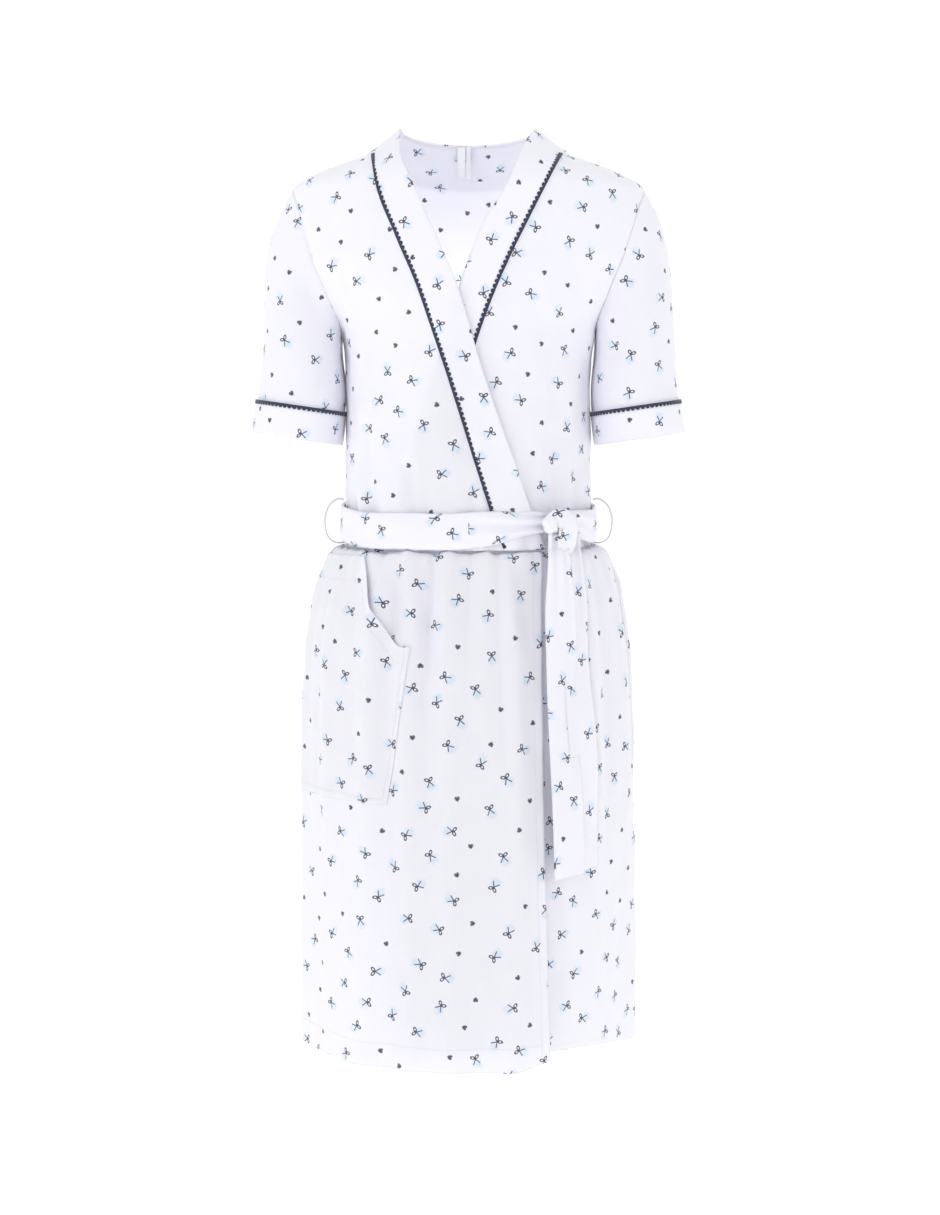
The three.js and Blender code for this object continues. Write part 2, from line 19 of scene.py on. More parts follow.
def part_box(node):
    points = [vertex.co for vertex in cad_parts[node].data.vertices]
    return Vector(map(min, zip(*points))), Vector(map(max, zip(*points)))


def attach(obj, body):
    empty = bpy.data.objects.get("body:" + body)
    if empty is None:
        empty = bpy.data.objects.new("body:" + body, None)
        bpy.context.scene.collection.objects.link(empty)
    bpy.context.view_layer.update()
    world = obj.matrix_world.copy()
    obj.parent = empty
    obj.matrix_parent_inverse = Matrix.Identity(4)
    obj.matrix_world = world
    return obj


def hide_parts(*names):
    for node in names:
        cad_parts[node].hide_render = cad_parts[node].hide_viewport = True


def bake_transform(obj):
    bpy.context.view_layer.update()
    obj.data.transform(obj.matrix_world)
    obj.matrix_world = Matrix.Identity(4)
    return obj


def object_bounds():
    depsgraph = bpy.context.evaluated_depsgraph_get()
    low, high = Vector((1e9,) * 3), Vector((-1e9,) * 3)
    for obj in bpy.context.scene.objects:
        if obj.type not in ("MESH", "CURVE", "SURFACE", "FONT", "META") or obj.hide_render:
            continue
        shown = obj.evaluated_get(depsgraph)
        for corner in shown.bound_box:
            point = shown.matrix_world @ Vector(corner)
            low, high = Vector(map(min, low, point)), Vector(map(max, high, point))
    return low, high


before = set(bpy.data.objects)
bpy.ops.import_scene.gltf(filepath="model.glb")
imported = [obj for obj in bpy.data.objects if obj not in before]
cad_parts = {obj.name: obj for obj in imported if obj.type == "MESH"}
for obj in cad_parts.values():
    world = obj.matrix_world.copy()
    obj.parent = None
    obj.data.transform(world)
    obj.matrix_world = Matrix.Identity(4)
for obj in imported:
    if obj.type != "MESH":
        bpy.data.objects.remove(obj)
CAD_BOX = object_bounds()
log = logging.getLogger("gown")
Array = np.ndarray
QUARTER = math.pi / 2
MM = 0.001


class Side(Enum):
    """The wearer's sides; the value is the sign of x."""

    RIGHT = -1
    LEFT = 1

    @property
    def word(self) -> str:
        """The side's word in names."""
        return self.name.lower()

    @property
    def layer(self) -> str:
        """Whether this side's front laps over the other one or lies under it."""
        return "over" if self is Side.RIGHT else "under"


def smoothstep(value: Array, low: float, high: float) -> Array:
    """Smooth share, from 0 at low to 1 at high."""
    share = np.clip((value - low) / (high - low), 0.0, 1.0)
    return share * share * (3.0 - 2.0 * share)


def mix(start: Array, end: Array, share: Array) -> Array:
    """Straight blend from start to end."""
    return start + (end - start) * share


def unit(vectors: Array) -> Array:
    """Vectors brought to length 1."""
    return vectors / np.linalg.norm(vectors, axis=-1, keepdims=True)


class SmoothCurve:
    """Smooth curve through (height, value) stations that never swings past them."""

    def __init__(self, stations: Sequence[tuple[float, float]]) -> None:
        """Works out a slope at each station.

        Args:
            stations: heights and the values there, in any order.
        """
        points = np.array(sorted(stations))
        self.heights, self.values = points[:, 0], points[:, 1]
        slopes = np.diff(self.values) / np.diff(self.heights)
        before, after = slopes[:-1], slopes[1:]
        total = np.where(before + after == 0, 1.0, before + after)
        inner = np.where(before * after > 0, 2 * before * after / total, 0.0)
        self.tangents = np.concatenate([slopes[:1], inner, slopes[-1:]])

    def __call__(self, height: Array) -> Array:
        """Value at a height; past the ends the curve runs on straight."""
        height = np.asarray(height, float)
        index = np.clip(np.searchsorted(self.heights, height, side="right") - 1, 0, len(self.heights) - 2)
        span = self.heights[index + 1] - self.heights[index]
        share = (height - self.heights[index]) / span
        rise = self.values[index + 1] - self.values[index]
        bend_in = self.tangents[index] * span - rise
        bend_out = rise - self.tangents[index + 1] * span
        curved = self.values[index] + rise * share
        curved = curved + share * (1 - share) * (bend_in * (1 - share) + bend_out * share)
        below = self.values[0] + self.tangents[0] * (height - self.heights[0])
        above = self.values[-1] + self.tangents[-1] * (height - self.heights[-1])
        inside = np.where(height >= self.heights[-1], above, curved)
        return np.where(height <= self.heights[0], below, inside)


def smooth_path(stops: Array, fine: Array) -> Array:
    """Points of a smooth path at places counted in stops."""
    curves = [SmoothCurve(list(enumerate(stops[:, axis]))) for axis in range(3)]
    return np.stack([curve(fine) for curve in curves], axis=-1)


def along_line(stops: Array, run: Array, values: Array) -> Array:
    """Vectors given along a line, read at other distances along it."""
    return np.stack([np.interp(stops, run, values[:, axis]) for axis in range(3)], axis=-1)


# ------------------------------------------------------------------ the body form
@dataclass
class BodyForm:
    """The shape that the cloth hangs on. Angle 0 is the centre front and a right angle is the left side."""

    neck_half_width: float = 0.070
    neck_rise: float = 0.009
    neck_depth: float = 0.060
    shoulder_half_width: float = 0.184
    shoulder_drop: float = 0.063
    armhole_depth: float = 0.151
    armhole_spread: float = 0.5
    half_width: float = 0.130
    chest_depth: float = 0.108
    back_depth: float = 0.094
    band_rise: float = 0.015
    v_depth: float = 0.162
    skirt_puff: float = 0.011
    flare_side: float = 0.037
    flare_front: float = 0.044
    flare_back: float = 0.052
    side_step: float = 0.004
    puff_drop: float = 0.003
    side_flare_drop: float = 0.080
    front_flare_drop: float = 0.200
    z_waist: float = field(init=False)
    z_hem: float = field(init=False)
    axis_y: float = field(init=False)

    def __post_init__(self) -> None:
        """Takes the heights from the frame and lays the section curves."""
        hem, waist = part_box("skirt_back")
        self.z_waist, self.z_hem = waist.z, hem.z
        carrier_low, carrier_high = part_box("belt_carrier_right")
        self.axis_y = (carrier_low.y + carrier_high.y) / 2
        self.z_neck = self.neck_rise
        self.z_shoulder = self.z_neck - self.shoulder_drop
        self.z_underarm = self.z_shoulder - self.armhole_depth
        self.z_seam_top = -self.band_rise
        self.z_v = -self.v_depth
        self.width = SmoothCurve([*self._shoulder_stations(), *self._side_stations()])
        self.front = SmoothCurve([
            (self.z_neck, self.neck_depth - 2 * MM),
            (self.z_seam_top, mix(self.neck_depth, self.chest_depth, 0.33)),
            (self.z_shoulder, mix(self.neck_depth, self.chest_depth, 0.72)),
            (mix(self.z_shoulder, self.z_underarm, 0.45), self.chest_depth - 4 * MM),
            (self.z_underarm, self.chest_depth),
            (self.z_waist, self.chest_depth - 3 * MM),
        ])
        self.back = SmoothCurve([
            (self.z_neck, self.neck_depth - 10 * MM),
            (0.0, self.neck_depth),
            (self.z_seam_top, mix(self.neck_depth, self.back_depth, 0.3)),
            (self.z_shoulder, mix(self.neck_depth, self.back_depth, 0.75)),
            (self.z_underarm, self.back_depth),
            (self.z_waist, self.back_depth - 4 * MM),
        ])

    def _shoulder_stations(self) -> list[tuple[float, float]]:
        """Half widths down the slope of the shoulder."""
        shares = [(0.0, 0.0), (0.41, 0.3), (0.76, 0.8), (1.0, 1.0)]
        return [
            (self.z_neck - drop * self.shoulder_drop,
             mix(self.neck_half_width, self.shoulder_half_width, reach))
            for drop, reach in shares
        ]

    def _side_stations(self) -> list[tuple[float, float]]:
        """Half widths down the armhole and on to the waist."""
        shares = [(0.25, 1.07), (0.45, 0.98), (0.7, 0.6), (1.0, 0.07), (1.2, 0.0)]
        stations = [
            (self.z_shoulder - drop * self.armhole_depth,
             mix(self.half_width, self.shoulder_half_width, reach))
            for drop, reach in shares
        ]
        return [*stations, (self.z_waist, self.half_width)]

    def _oval(self, half_width: Array, front: Array, back: Array, angle: Array, z: Array) -> Array:
        """Points of an oval section whose front and back have their own depths."""
        depth = np.where(np.cos(angle) > 0, front, back)
        y = self.axis_y - depth * np.cos(angle)
        return np.stack(np.broadcast_arrays(half_width * np.sin(angle), y, z), axis=-1)

    def body(self, angle: Array, z: Array) -> Array:
        """Points of the form from the neck to the waist."""
        return self._oval(self.width(z), self.front(z), self.back(z), angle, z)

    def puff(self, drop: Array) -> Array:
        """Step out of the gathered skirt, a drop below the waist."""
        return self.skirt_puff * (1 - np.exp(-drop / self.puff_drop))

    def skirt_width(self, z: Array) -> Array:
        """Half width of the skirt at a height."""
        drop = np.maximum(self.z_waist - z, 0.0)
        flare = (self.flare_side - self.side_step) * (1 - np.exp(-drop / self.side_flare_drop))
        return self.half_width + self.side_step + self.puff(drop) + flare

    def skirt_depth(self, z: Array, top: float, flare: float) -> Array:
        """Depth of the skirt's front or back at a height."""
        drop = np.maximum(self.z_waist - z, 0.0)
        return top + 0.6 * self.puff(drop) + flare * (1 - np.exp(-drop / self.front_flare_drop))

    def skirt(self, angle: Array, z: Array) -> Array:
        """Points of the form from the waist to the hem."""
        front = self.skirt_depth(z, float(self.front(self.z_waist)), self.flare_front)
        back = self.skirt_depth(z, float(self.back(self.z_waist)), self.flare_back)
        return self._oval(self.skirt_width(z), front, back, angle, z)

    def armhole_height(self, turn: Array) -> Array:
        """Height on the armhole's edge, from its top at turn 0 to the underarm at a half turn."""
        return self.z_shoulder - self.armhole_depth * (1 - np.cos(turn)) / 2

    def armhole_cut(self, z: Array) -> Array:
        """How far the armhole cuts into a panel at a height, in radians from the side."""
        share = np.clip((self.z_shoulder - z) / self.armhole_depth, 0.0, 1.0)
        return self.armhole_spread * np.sqrt(np.clip(1 - (1 - 2 * share) ** 2, 0.0, 1.0))


def front_angle(x: Array, half_width: Array) -> Array:
    """Angle on the front of a section at which x is reached."""
    return np.arcsin(np.clip(x / half_width, -1.0, 1.0))


# ------------------------------------------------------------------ folds
@dataclass(frozen=True)
class Fold:
    """A soft ridge, or with a negative height a valley, that runs down the front."""

    top: tuple[float, float]
    bottom: tuple[float, float]
    width: float
    height: float

    def lift(self, x: Array, z: Array) -> Array:
        """How far the cloth stands out at places given by x and height."""
        share = (self.top[1] - z) / (self.top[1] - self.bottom[1])
        centre = mix(self.top[0], self.bottom[0], np.clip(share, 0.0, 1.0))
        fade = smoothstep(share, -0.12, 0.1) * (1 - smoothstep(share, 0.45, 1.15))
        return self.height * np.exp(-(((x - centre) / self.width) ** 2)) * fade


@dataclass
class Folds:
    """Folds that every layer of the gown shares, so that the layers stay clear of each other."""

    form: BodyForm
    seed: int = 5
    gather_height: float = 0.0012
    gather_fade: float = 0.055
    skirt_fold_height: float = 0.0042
    hem_wave_height: float = 0.0040
    waist_fold_height: float = 0.0024
    waist_fold_fade: float = 0.075
    crinkle_height: float = 0.0007

    def __post_init__(self) -> None:
        """Draws the phases of the irregular waves and sets the folds that are placed one by one."""
        self.phases = np.random.default_rng(self.seed).uniform(0, 2 * math.pi, 48)
        waist = self.form.z_waist
        self.skirt_folds = [
            Fold((-0.036, waist), (-0.048, waist - 0.175), 0.0065, -0.0055),
            Fold((-0.022, waist), (-0.026, waist - 0.150), 0.0090, 0.0040),
            Fold((0.001, waist), (-0.004, waist - 0.120), 0.0060, -0.0045),
            Fold((0.030, waist), (0.040, waist - 0.280), 0.0080, -0.0048),
            Fold((0.014, waist), (0.016, waist - 0.200), 0.0100, 0.0030),
            Fold((-0.088, waist), (-0.074, waist - 0.105), 0.0120, -0.0060),
            Fold((-0.062, waist), (-0.050, waist - 0.130), 0.0090, 0.0030),
            Fold((0.108, waist), (0.120, waist - 0.260), 0.0090, -0.0045),
        ]
        self.bodice_folds = [
            Fold((-0.104, waist + 0.130), (-0.095, waist), 0.0070, -0.0042),
            Fold((-0.060, waist + 0.090), (-0.048, waist), 0.0085, -0.0034),
            Fold((-0.078, waist + 0.105), (-0.072, waist), 0.0100, 0.0026),
            Fold((0.006, waist + 0.060), (0.001, waist), 0.0060, -0.0030),
            Fold((0.090, waist + 0.120), (0.084, waist), 0.0080, -0.0032),
            Fold((0.122, waist + 0.190), (0.112, waist), 0.0090, -0.0044),
        ]

    def _wave(self, angle: Array, count: float, wander: float, first: int) -> Array:
        """Irregular wave round the body, whose spacing wanders.

        Args:
            angle: angles round the body.
            count: waves in a whole turn.
            wander: how far the spacing wanders, in radians of the wave.
            first: which of the drawn phases it starts from.

        Returns:
            Values from about -1 to 1.
        """
        a, b, c, d = self.phases[first:first + 4]
        bend = wander * (np.sin(2 * angle + a) + 0.6 * np.sin(5 * angle + b))
        return 0.72 * np.sin(count * angle + bend + c) + 0.28 * np.sin(round(1.61 * count) * angle - bend + d)

    def _crinkle(self, along: Array, across: Array) -> Array:
        """Small uneven creasing, in metres, over places given in metres."""
        total = np.zeros(np.broadcast(along, across).shape)
        for index in range(6):
            turn, phase = self.phases[20 + index], self.phases[28 + index]
            pitch = 0.030 + 0.009 * index
            run = along * math.cos(turn) + across * math.sin(turn)
            total = total + np.sin(2 * math.pi * run / pitch + phase) / 3
        return self.crinkle_height * total

    def skirt(self, angle: Array, z: Array) -> Array:
        """Stand-out of the skirt's folds."""
        form = self.form
        drop = np.maximum(form.z_waist - z, 0.0)
        share = drop / (form.z_waist - form.z_hem)
        gathers = self.gather_height * np.exp(-drop / self.gather_fade) * self._wave(angle, 44, 1.2, 0)
        drift = 0.25 * np.sin(3 * share + self.phases[16])
        middle = smoothstep(drop, 0.0, 0.05) * (1 - 0.62 * smoothstep(share, 0.15, 0.85))
        folds = self.skirt_fold_height * middle * self._wave(angle + drift / 19, 19, 1.0, 4)
        hem = self.hem_wave_height * smoothstep(share, 0.1, 1.0) * self._wave(angle + drift / 11, 11, 0.8, 8)
        x = form.skirt_width(z) * np.sin(angle)
        placed = sum(fold.lift(x, z) for fold in self.skirt_folds) * smoothstep(np.cos(angle), -0.05, 0.15)
        small = self._crinkle(angle * form.skirt_width(z), z) * smoothstep(drop, 0.0, 0.05)
        return gathers + folds + hem + placed + small

    def bodice(self, angle: Array, z: Array) -> Array:
        """Stand-out of the bodice's folds, which start at the belt and fade upward."""
        form = self.form
        rise = z - form.z_waist
        waist = self.waist_fold_height * np.exp(-np.maximum(rise, 0) / self.waist_fold_fade)
        broad = 0.0020 * smoothstep(rise, 0.02, 0.12) * (1 - smoothstep(z, -0.20, -0.08))
        x = form.width(z) * np.sin(angle)
        placed = sum(fold.lift(x, z) for fold in self.bodice_folds) * smoothstep(np.cos(angle), -0.05, 0.15)
        small = self._crinkle(angle * form.width(z), z) * (1 - smoothstep(z, -0.12, -0.04))
        return waist * self._wave(angle, 25, 1.1, 12) + broad * self._wave(angle, 8, 0.7, 8) + placed + small

    def edge_free(self, angle: Array, z: Array) -> Array:
        """0 along the armhole, where the sleeve joins on, and 1 a little way into the panel."""
        form = self.form
        into = QUARTER - form.armhole_cut(z) - np.abs(np.where(angle > QUARTER, math.pi - angle, angle))
        beside = smoothstep(into * form.half_width, 0.0, 0.024)
        below = smoothstep(form.z_underarm - z, 0.0, 0.05)
        return np.maximum(beside, below)


# ------------------------------------------------------------------ meshes
def grid_normals(points: Array) -> Array:
    """Unit normals of a grid of points, on the side that its columns run left to right."""
    across = np.gradient(points, axis=1)
    up = np.gradient(points, axis=0)
    normal = np.cross(across, up)
    length = np.linalg.norm(normal, axis=-1, keepdims=True)
    return normal / np.where(length < 1e-12, 1.0, length)


def tube_normals(points: Array) -> Array:
    """Unit normals of a grid whose last column is its first one again."""
    padded = np.concatenate([points[:, -2:-1], points, points[:, 1:2]], axis=1)
    return grid_normals(padded)[:, 1:-1]


def run_lengths(points: Array, axis: int) -> Array:
    """Distance travelled along one way of a grid, from 0 at its first row or column."""
    steps = np.linalg.norm(np.diff(points, axis=axis), axis=-1)
    start = np.zeros_like(np.take(steps, [0], axis=axis))
    return np.concatenate([start, np.cumsum(steps, axis=axis)], axis=axis)


def strip_uv(points: Array, corner: tuple[float, float]) -> Array:
    """Places on the flat cloth of a strip or tube, in metres from a corner of the bolt."""
    middle = points.shape[1] // 2
    across = run_lengths(points, axis=1)
    along = run_lengths(points, axis=0)[:, middle:middle + 1]
    u = across - across[:, middle:middle + 1]
    return np.stack([u + corner[0], np.broadcast_to(along, u.shape) + corner[1]], axis=-1)


def tube_uv(points: Array, corner: tuple[float, float]) -> Array:
    """Places on the flat cloth of a tube whose columns differ in length, in metres."""
    middle = points.shape[1] // 2
    across = run_lengths(points, axis=1)[:1]
    along = run_lengths(points, axis=0)
    u = np.broadcast_to(across - across[:, middle:middle + 1], along.shape)
    return np.stack([u + corner[0], along + corner[1]], axis=-1)


def panel_uv(surface: Callable[[Array, Array], Array], angle: Array, z: Array,
             centre: float, corner: tuple[float, float]) -> Array:
    """Places on the flat cloth of a panel, in metres, with the grain straight down the body.

    Args:
        surface: the form that the panel lies on.
        angle: the panel's angles.
        z: its heights.
        centre: the angle of the panel's straight grain.
        corner: where the panel was cut from the bolt.

    Returns:
        One pair of metres for each point.
    """
    steps = 24
    shares = np.linspace(0.0, 1.0, steps + 1).reshape(-1, 1, 1)
    arc = surface(centre + (angle - centre) * shares, np.broadcast_to(z, angle.shape))
    around = np.linalg.norm(np.diff(arc, axis=0), axis=-1).sum(axis=0) * np.sign(angle - centre)
    heights = np.linspace(z.min(), z.max(), 240)
    line = surface(np.full_like(heights, centre + 0.6), heights)
    lengths = np.concatenate([[0.0], np.cumsum(np.linalg.norm(np.diff(line, axis=0), axis=-1))])
    down = np.interp(z, heights, lengths)
    return np.stack([around + corner[0], np.broadcast_to(down, around.shape) + corner[1]], axis=-1)


def to_mesh(name: str, shape: bmesh.types.BMesh) -> bpy.types.Mesh:
    """Makes a mesh of a finished bmesh, which is freed."""
    mesh = bpy.data.meshes.new(name)
    shape.to_mesh(mesh)
    shape.free()
    return mesh


def new_object(name: str, mesh: bpy.types.Mesh) -> bpy.types.Object:
    """Puts a mesh in the scene with smooth shading."""
    piece = bpy.data.objects.new(name, mesh)
    bpy.context.scene.collection.objects.link(piece)
    mesh.polygons.foreach_set("use_smooth", [True] * len(mesh.polygons))
    return piece


def cloth_piece(name: str, points: Array, uv: Array, tube: bool = False) -> bpy.types.Object:
    """Lays a flat grid of cloth onto its points.

    Args:
        name: the piece's name.
        points: rows of points, lowest row first and each row left to right seen from outside.
        uv: each point's place on the flat cloth.
        tube: whether the last column is sewn to the first.

    Returns:
        The piece, one skin thick.
    """
    rows, columns = points.shape[0] - 1, points.shape[1] - 1
    sheet = bmesh.new()
    bmesh.ops.create_grid(sheet, x_segments=columns, y_segments=rows, size=1.0)
    mesh = to_mesh(name, sheet)
    flat = np.zeros(len(mesh.vertices) * 3)
    mesh.vertices.foreach_get("co", flat)
    flat = flat.reshape(-1, 3)
    low, high = flat.min(axis=0), flat.max(axis=0)
    column = np.rint((flat[:, 0] - low[0]) / (high[0] - low[0]) * columns).astype(int)
    row = np.rint((flat[:, 1] - low[1]) / (high[1] - low[1]) * rows).astype(int)
    mesh.vertices.foreach_set("co", points[row, column].ravel())
    corners = np.zeros(len(mesh.loops), int)
    mesh.loops.foreach_get("vertex_index", corners)
    layer = mesh.uv_layers.new(name="cloth")
    layer.data.foreach_set("uv", uv[row, column][corners].ravel())
    if tube:
        sewn = bmesh.new()
        sewn.from_mesh(mesh)
        bmesh.ops.remove_doubles(sewn, verts=sewn.verts, dist=1e-6)
        sewn.to_mesh(mesh)
        sewn.free()
    mesh.update()
    return new_object(name, mesh)


def thicken(piece: bpy.types.Object, thickness: float, offset: float = -1.0) -> None:
    """Gives a sheet its thickness, inward from its skin unless another offset is given."""
    wall = piece.modifiers.new("wall", "SOLIDIFY")
    wall.thickness = thickness
    wall.offset = offset
    wall.use_rim = True
    wall.use_even_offset = False


# ------------------------------------------------------------------ finishes
@dataclass(frozen=True)
class Wire:
    """One output in a material's nodes, with arithmetic that adds Math nodes."""

    tree: bpy.types.NodeTree
    socket: bpy.types.NodeSocket

    def math(self, operation: str, *others: "Wire | float") -> "Wire":
        """Adds a Math node that works on this output and the others."""
        node = self.tree.nodes.new("ShaderNodeMath")
        node.operation = operation
        for slot, value in zip(node.inputs, (self, *others)):
            if isinstance(value, Wire):
                self.tree.links.new(value.socket, slot)
            else:
                slot.default_value = value
        return Wire(self.tree, node.outputs[0])

    def __add__(self, other: "Wire | float") -> "Wire":
        """Sum."""
        return self.math("ADD", other)

    def __sub__(self, other: "Wire | float") -> "Wire":
        """Difference."""
        return self.math("SUBTRACT", other)

    def __mul__(self, other: "Wire | float") -> "Wire":
        """Product."""
        return self.math("MULTIPLY", other)

    def __truediv__(self, other: "Wire | float") -> "Wire":
        """Quotient."""
        return self.math("DIVIDE", other)

    def length(self, other: "Wire") -> "Wire":
        """Length of the flat vector of this and another number."""
        return (self * self + other * other).math("SQRT")

    def inside(self, reach: float, soft: float) -> "Wire":
        """1 where this distance is under reach and 0 past it, with a soft edge."""
        return ((self * -1.0 + reach) / soft + 0.5).math("MAXIMUM", 0.0).math("MINIMUM", 1.0)


@dataclass
class Finish:
    """A material under construction."""

    name: str

    def __post_init__(self) -> None:
        """Starts from the plain shader."""
        self.material = bpy.data.materials.new(self.name)
        self.material.use_nodes = True
        self.tree = self.material.node_tree
        self.shader = next(n for n in self.tree.nodes if n.type == "BSDF_PRINCIPLED")

    def node(self, kind: str, **settings: object) -> bpy.types.Node:
        """Adds a node and sets its properties and, by name, its inputs."""
        made = self.tree.nodes.new(kind)
        for key, value in settings.items():
            if hasattr(made, key):
                setattr(made, key, value)
            else:
                made.inputs[key.replace("_", " ")].default_value = value
        return made

    def link(self, start: bpy.types.NodeSocket, end: bpy.types.NodeSocket) -> None:
        """Joins two sockets."""
        self.tree.links.new(start, end)

    def wire(self, socket: bpy.types.NodeSocket) -> Wire:
        """Wraps an output for arithmetic."""
        return Wire(self.tree, socket)

    def blend(self, share: Wire, under: object, over: object) -> bpy.types.NodeSocket:
        """Mixes two colours, each a socket or a plain colour, by a share."""
        node = self.tree.nodes.new("ShaderNodeMix")
        node.data_type = "RGBA"
        factor, first, second = node.inputs[0], node.inputs[6], node.inputs[7]
        self.link(share.socket, factor)
        for slot, value in ((first, under), (second, over)):
            if isinstance(value, bpy.types.NodeSocket):
                self.link(value, slot)
            else:
                slot.default_value = value
        return node.outputs[2]

    def bump(self, height: Wire, strength: float, distance: float) -> None:
        """Raises the surface by a height pattern."""
        node = self.node("ShaderNodeBump", Strength=strength, Distance=distance)
        self.link(height.socket, node.inputs["Height"])
        self.link(node.outputs["Normal"], self.shader.inputs["Normal"])


@dataclass(frozen=True)
class PrintedJersey:
    """Fine white jersey with scattered bows and hearts; its sizes are those of the motifs."""

    pitch: float = 0.034
    scatter: float = 0.42
    grain_turn: float = 0.47
    heart_share: float = 0.36
    loop_centre: tuple[float, float] = (0.0022, 0.0022)
    loop_radii: tuple[float, float] = (0.0020, 0.0013)
    loop_tilt: float = 0.6
    tail_end: tuple[float, float] = (0.0034, -0.0050)
    line: float = 0.00105
    edge: float = 0.0003
    heart_radius: float = 0.0023
    wash_centre: tuple[float, float] = (0.0010, -0.0046)
    wash_radius: float = 0.0050
    ground: tuple[float, ...] = (0.885, 0.878, 0.953, 1.0)
    ground_shade: tuple[float, ...] = (0.865, 0.860, 0.942, 1.0)
    ink: tuple[float, ...] = (0.032, 0.036, 0.072, 1.0)
    wash: tuple[float, ...] = (0.60, 0.745, 0.92, 1.0)
    glow: float = 0.35
    glow_depth: float = 0.003
    course: float = 0.0013
    roughness: float = 0.92
    gloss: float = 0.25
    sheen: float = 0.12
    sheen_roughness: float = 0.5

    def make(self, name: str) -> bpy.types.Material:
        """Builds the material."""
        finish = Finish(name)
        flat = finish.node("ShaderNodeUVMap", uv_map="cloth").outputs["UV"]
        cells, local_x, local_y = self._cells(finish, flat)
        bow, wash = self._bow(finish, flat, local_x, local_y)
        heart = self._heart(local_x, local_y)
        is_heart = cells.math("LESS_THAN", self.heart_share)
        not_heart = is_heart * -1.0 + 1.0
        ink = bow * not_heart + heart * is_heart
        noise = finish.node("ShaderNodeTexNoise", noise_dimensions="2D", Scale=38.0, Detail=3.0)
        finish.link(flat, noise.inputs["Vector"])
        ground = finish.blend(finish.wire(noise.outputs[0]), self.ground, self.ground_shade)
        washed = finish.blend(wash * not_heart, ground, self.wash)
        inked = finish.blend(ink * 0.93, washed, self.ink)
        finish.link(inked, finish.shader.inputs["Base Color"])
        self._knit(finish, flat)
        finish.shader.inputs["Roughness"].default_value = self.roughness
        finish.shader.inputs["Specular IOR Level"].default_value = self.gloss
        finish.shader.inputs["Sheen Weight"].default_value = self.sheen
        finish.shader.inputs["Sheen Roughness"].default_value = self.sheen_roughness
        finish.shader.inputs["Subsurface Weight"].default_value = self.glow
        finish.shader.inputs["Subsurface Radius"].default_value = (1.0, 1.0, 1.0)
        finish.shader.inputs["Subsurface Scale"].default_value = self.glow_depth
        return finish.material

    def _cells(self, finish: Finish, flat: bpy.types.NodeSocket) -> tuple[Wire, Wire, Wire]:
        """Scatters one motif to a cell and turns each its own way.

        Args:
            finish: the material.
            flat: the place on the cloth.

        Returns:
            A number drawn for the cell, and the place inside the motif across and up.
        """
        grain = finish.node("ShaderNodeMapping")
        grain.inputs["Rotation"].default_value = (0.0, 0.0, self.grain_turn)
        finish.link(flat, grain.inputs["Vector"])
        cells = finish.node("ShaderNodeTexVoronoi", voronoi_dimensions="2D", Scale=1 / self.pitch)
        cells.inputs["Randomness"].default_value = self.scatter
        finish.link(grain.outputs["Vector"], cells.inputs["Vector"])
        away = finish.node("ShaderNodeVectorMath", operation="SUBTRACT")
        finish.link(grain.outputs["Vector"], away.inputs[0])
        finish.link(cells.outputs["Position"], away.inputs[1])
        place = finish.node("ShaderNodeSeparateXYZ")
        finish.link(away.outputs["Vector"], place.inputs[0])
        drawn = finish.node("ShaderNodeSeparateColor")
        finish.link(cells.outputs["Color"], drawn.inputs[0])
        turn = finish.wire(drawn.outputs[0]) * (2 * math.pi)
        cosine, sine = turn.math("COSINE"), turn.math("SINE")
        x, y = finish.wire(place.outputs[0]), finish.wire(place.outputs[1])
        return finish.wire(drawn.outputs[1]), x * cosine + y * sine, y * cosine - x * sine

    def _bow(self, finish: Finish, flat: bpy.types.NodeSocket, x: Wire, y: Wire) -> tuple[Wire, Wire]:
        """Draws the outline bow and the patch of colour washed beside it."""
        mirrored = x.math("ABSOLUTE")
        out, up = mirrored - self.loop_centre[0], y - self.loop_centre[1]
        cosine, sine = math.cos(self.loop_tilt), math.sin(self.loop_tilt)
        along = (out * cosine + up * sine) / self.loop_radii[0]
        beside = (up * cosine - out * sine) / self.loop_radii[1]
        ring = (along.length(beside) - 1.0).math("ABSOLUTE") * self.loop_radii[1]
        end_x, end_y = self.tail_end
        share = (mirrored * end_x + y * end_y) / (end_x ** 2 + end_y ** 2)
        share = share.math("MAXIMUM", 0.0).math("MINIMUM", 1.0)
        tail = (mirrored - share * end_x).length(y - share * end_y)
        line = ring.math("MINIMUM", tail).math("MINIMUM", x.length(y) - self.line / 2)
        bow = line.inside(self.line / 2, self.edge)
        noise = finish.node("ShaderNodeTexNoise", noise_dimensions="2D", Scale=260.0, Detail=2.0)
        finish.link(flat, noise.inputs["Vector"])
        uneven = finish.wire(noise.outputs[0]) - 0.5
        reach = (x - self.wash_centre[0]).length(y - self.wash_centre[1]) + uneven * 0.009
        patchy = uneven * 1.3 + 0.62
        return bow, reach.inside(self.wash_radius, 0.0026) * patchy

    def _heart(self, x: Wire, y: Wire) -> Wire:
        """Fills a small heart."""
        across, up = x / self.heart_radius, y / self.heart_radius
        ring = across * across + up * up - 1.0
        shape = ring * ring * ring - across * across * up * up * up
        return shape.inside(0.0, 0.25)

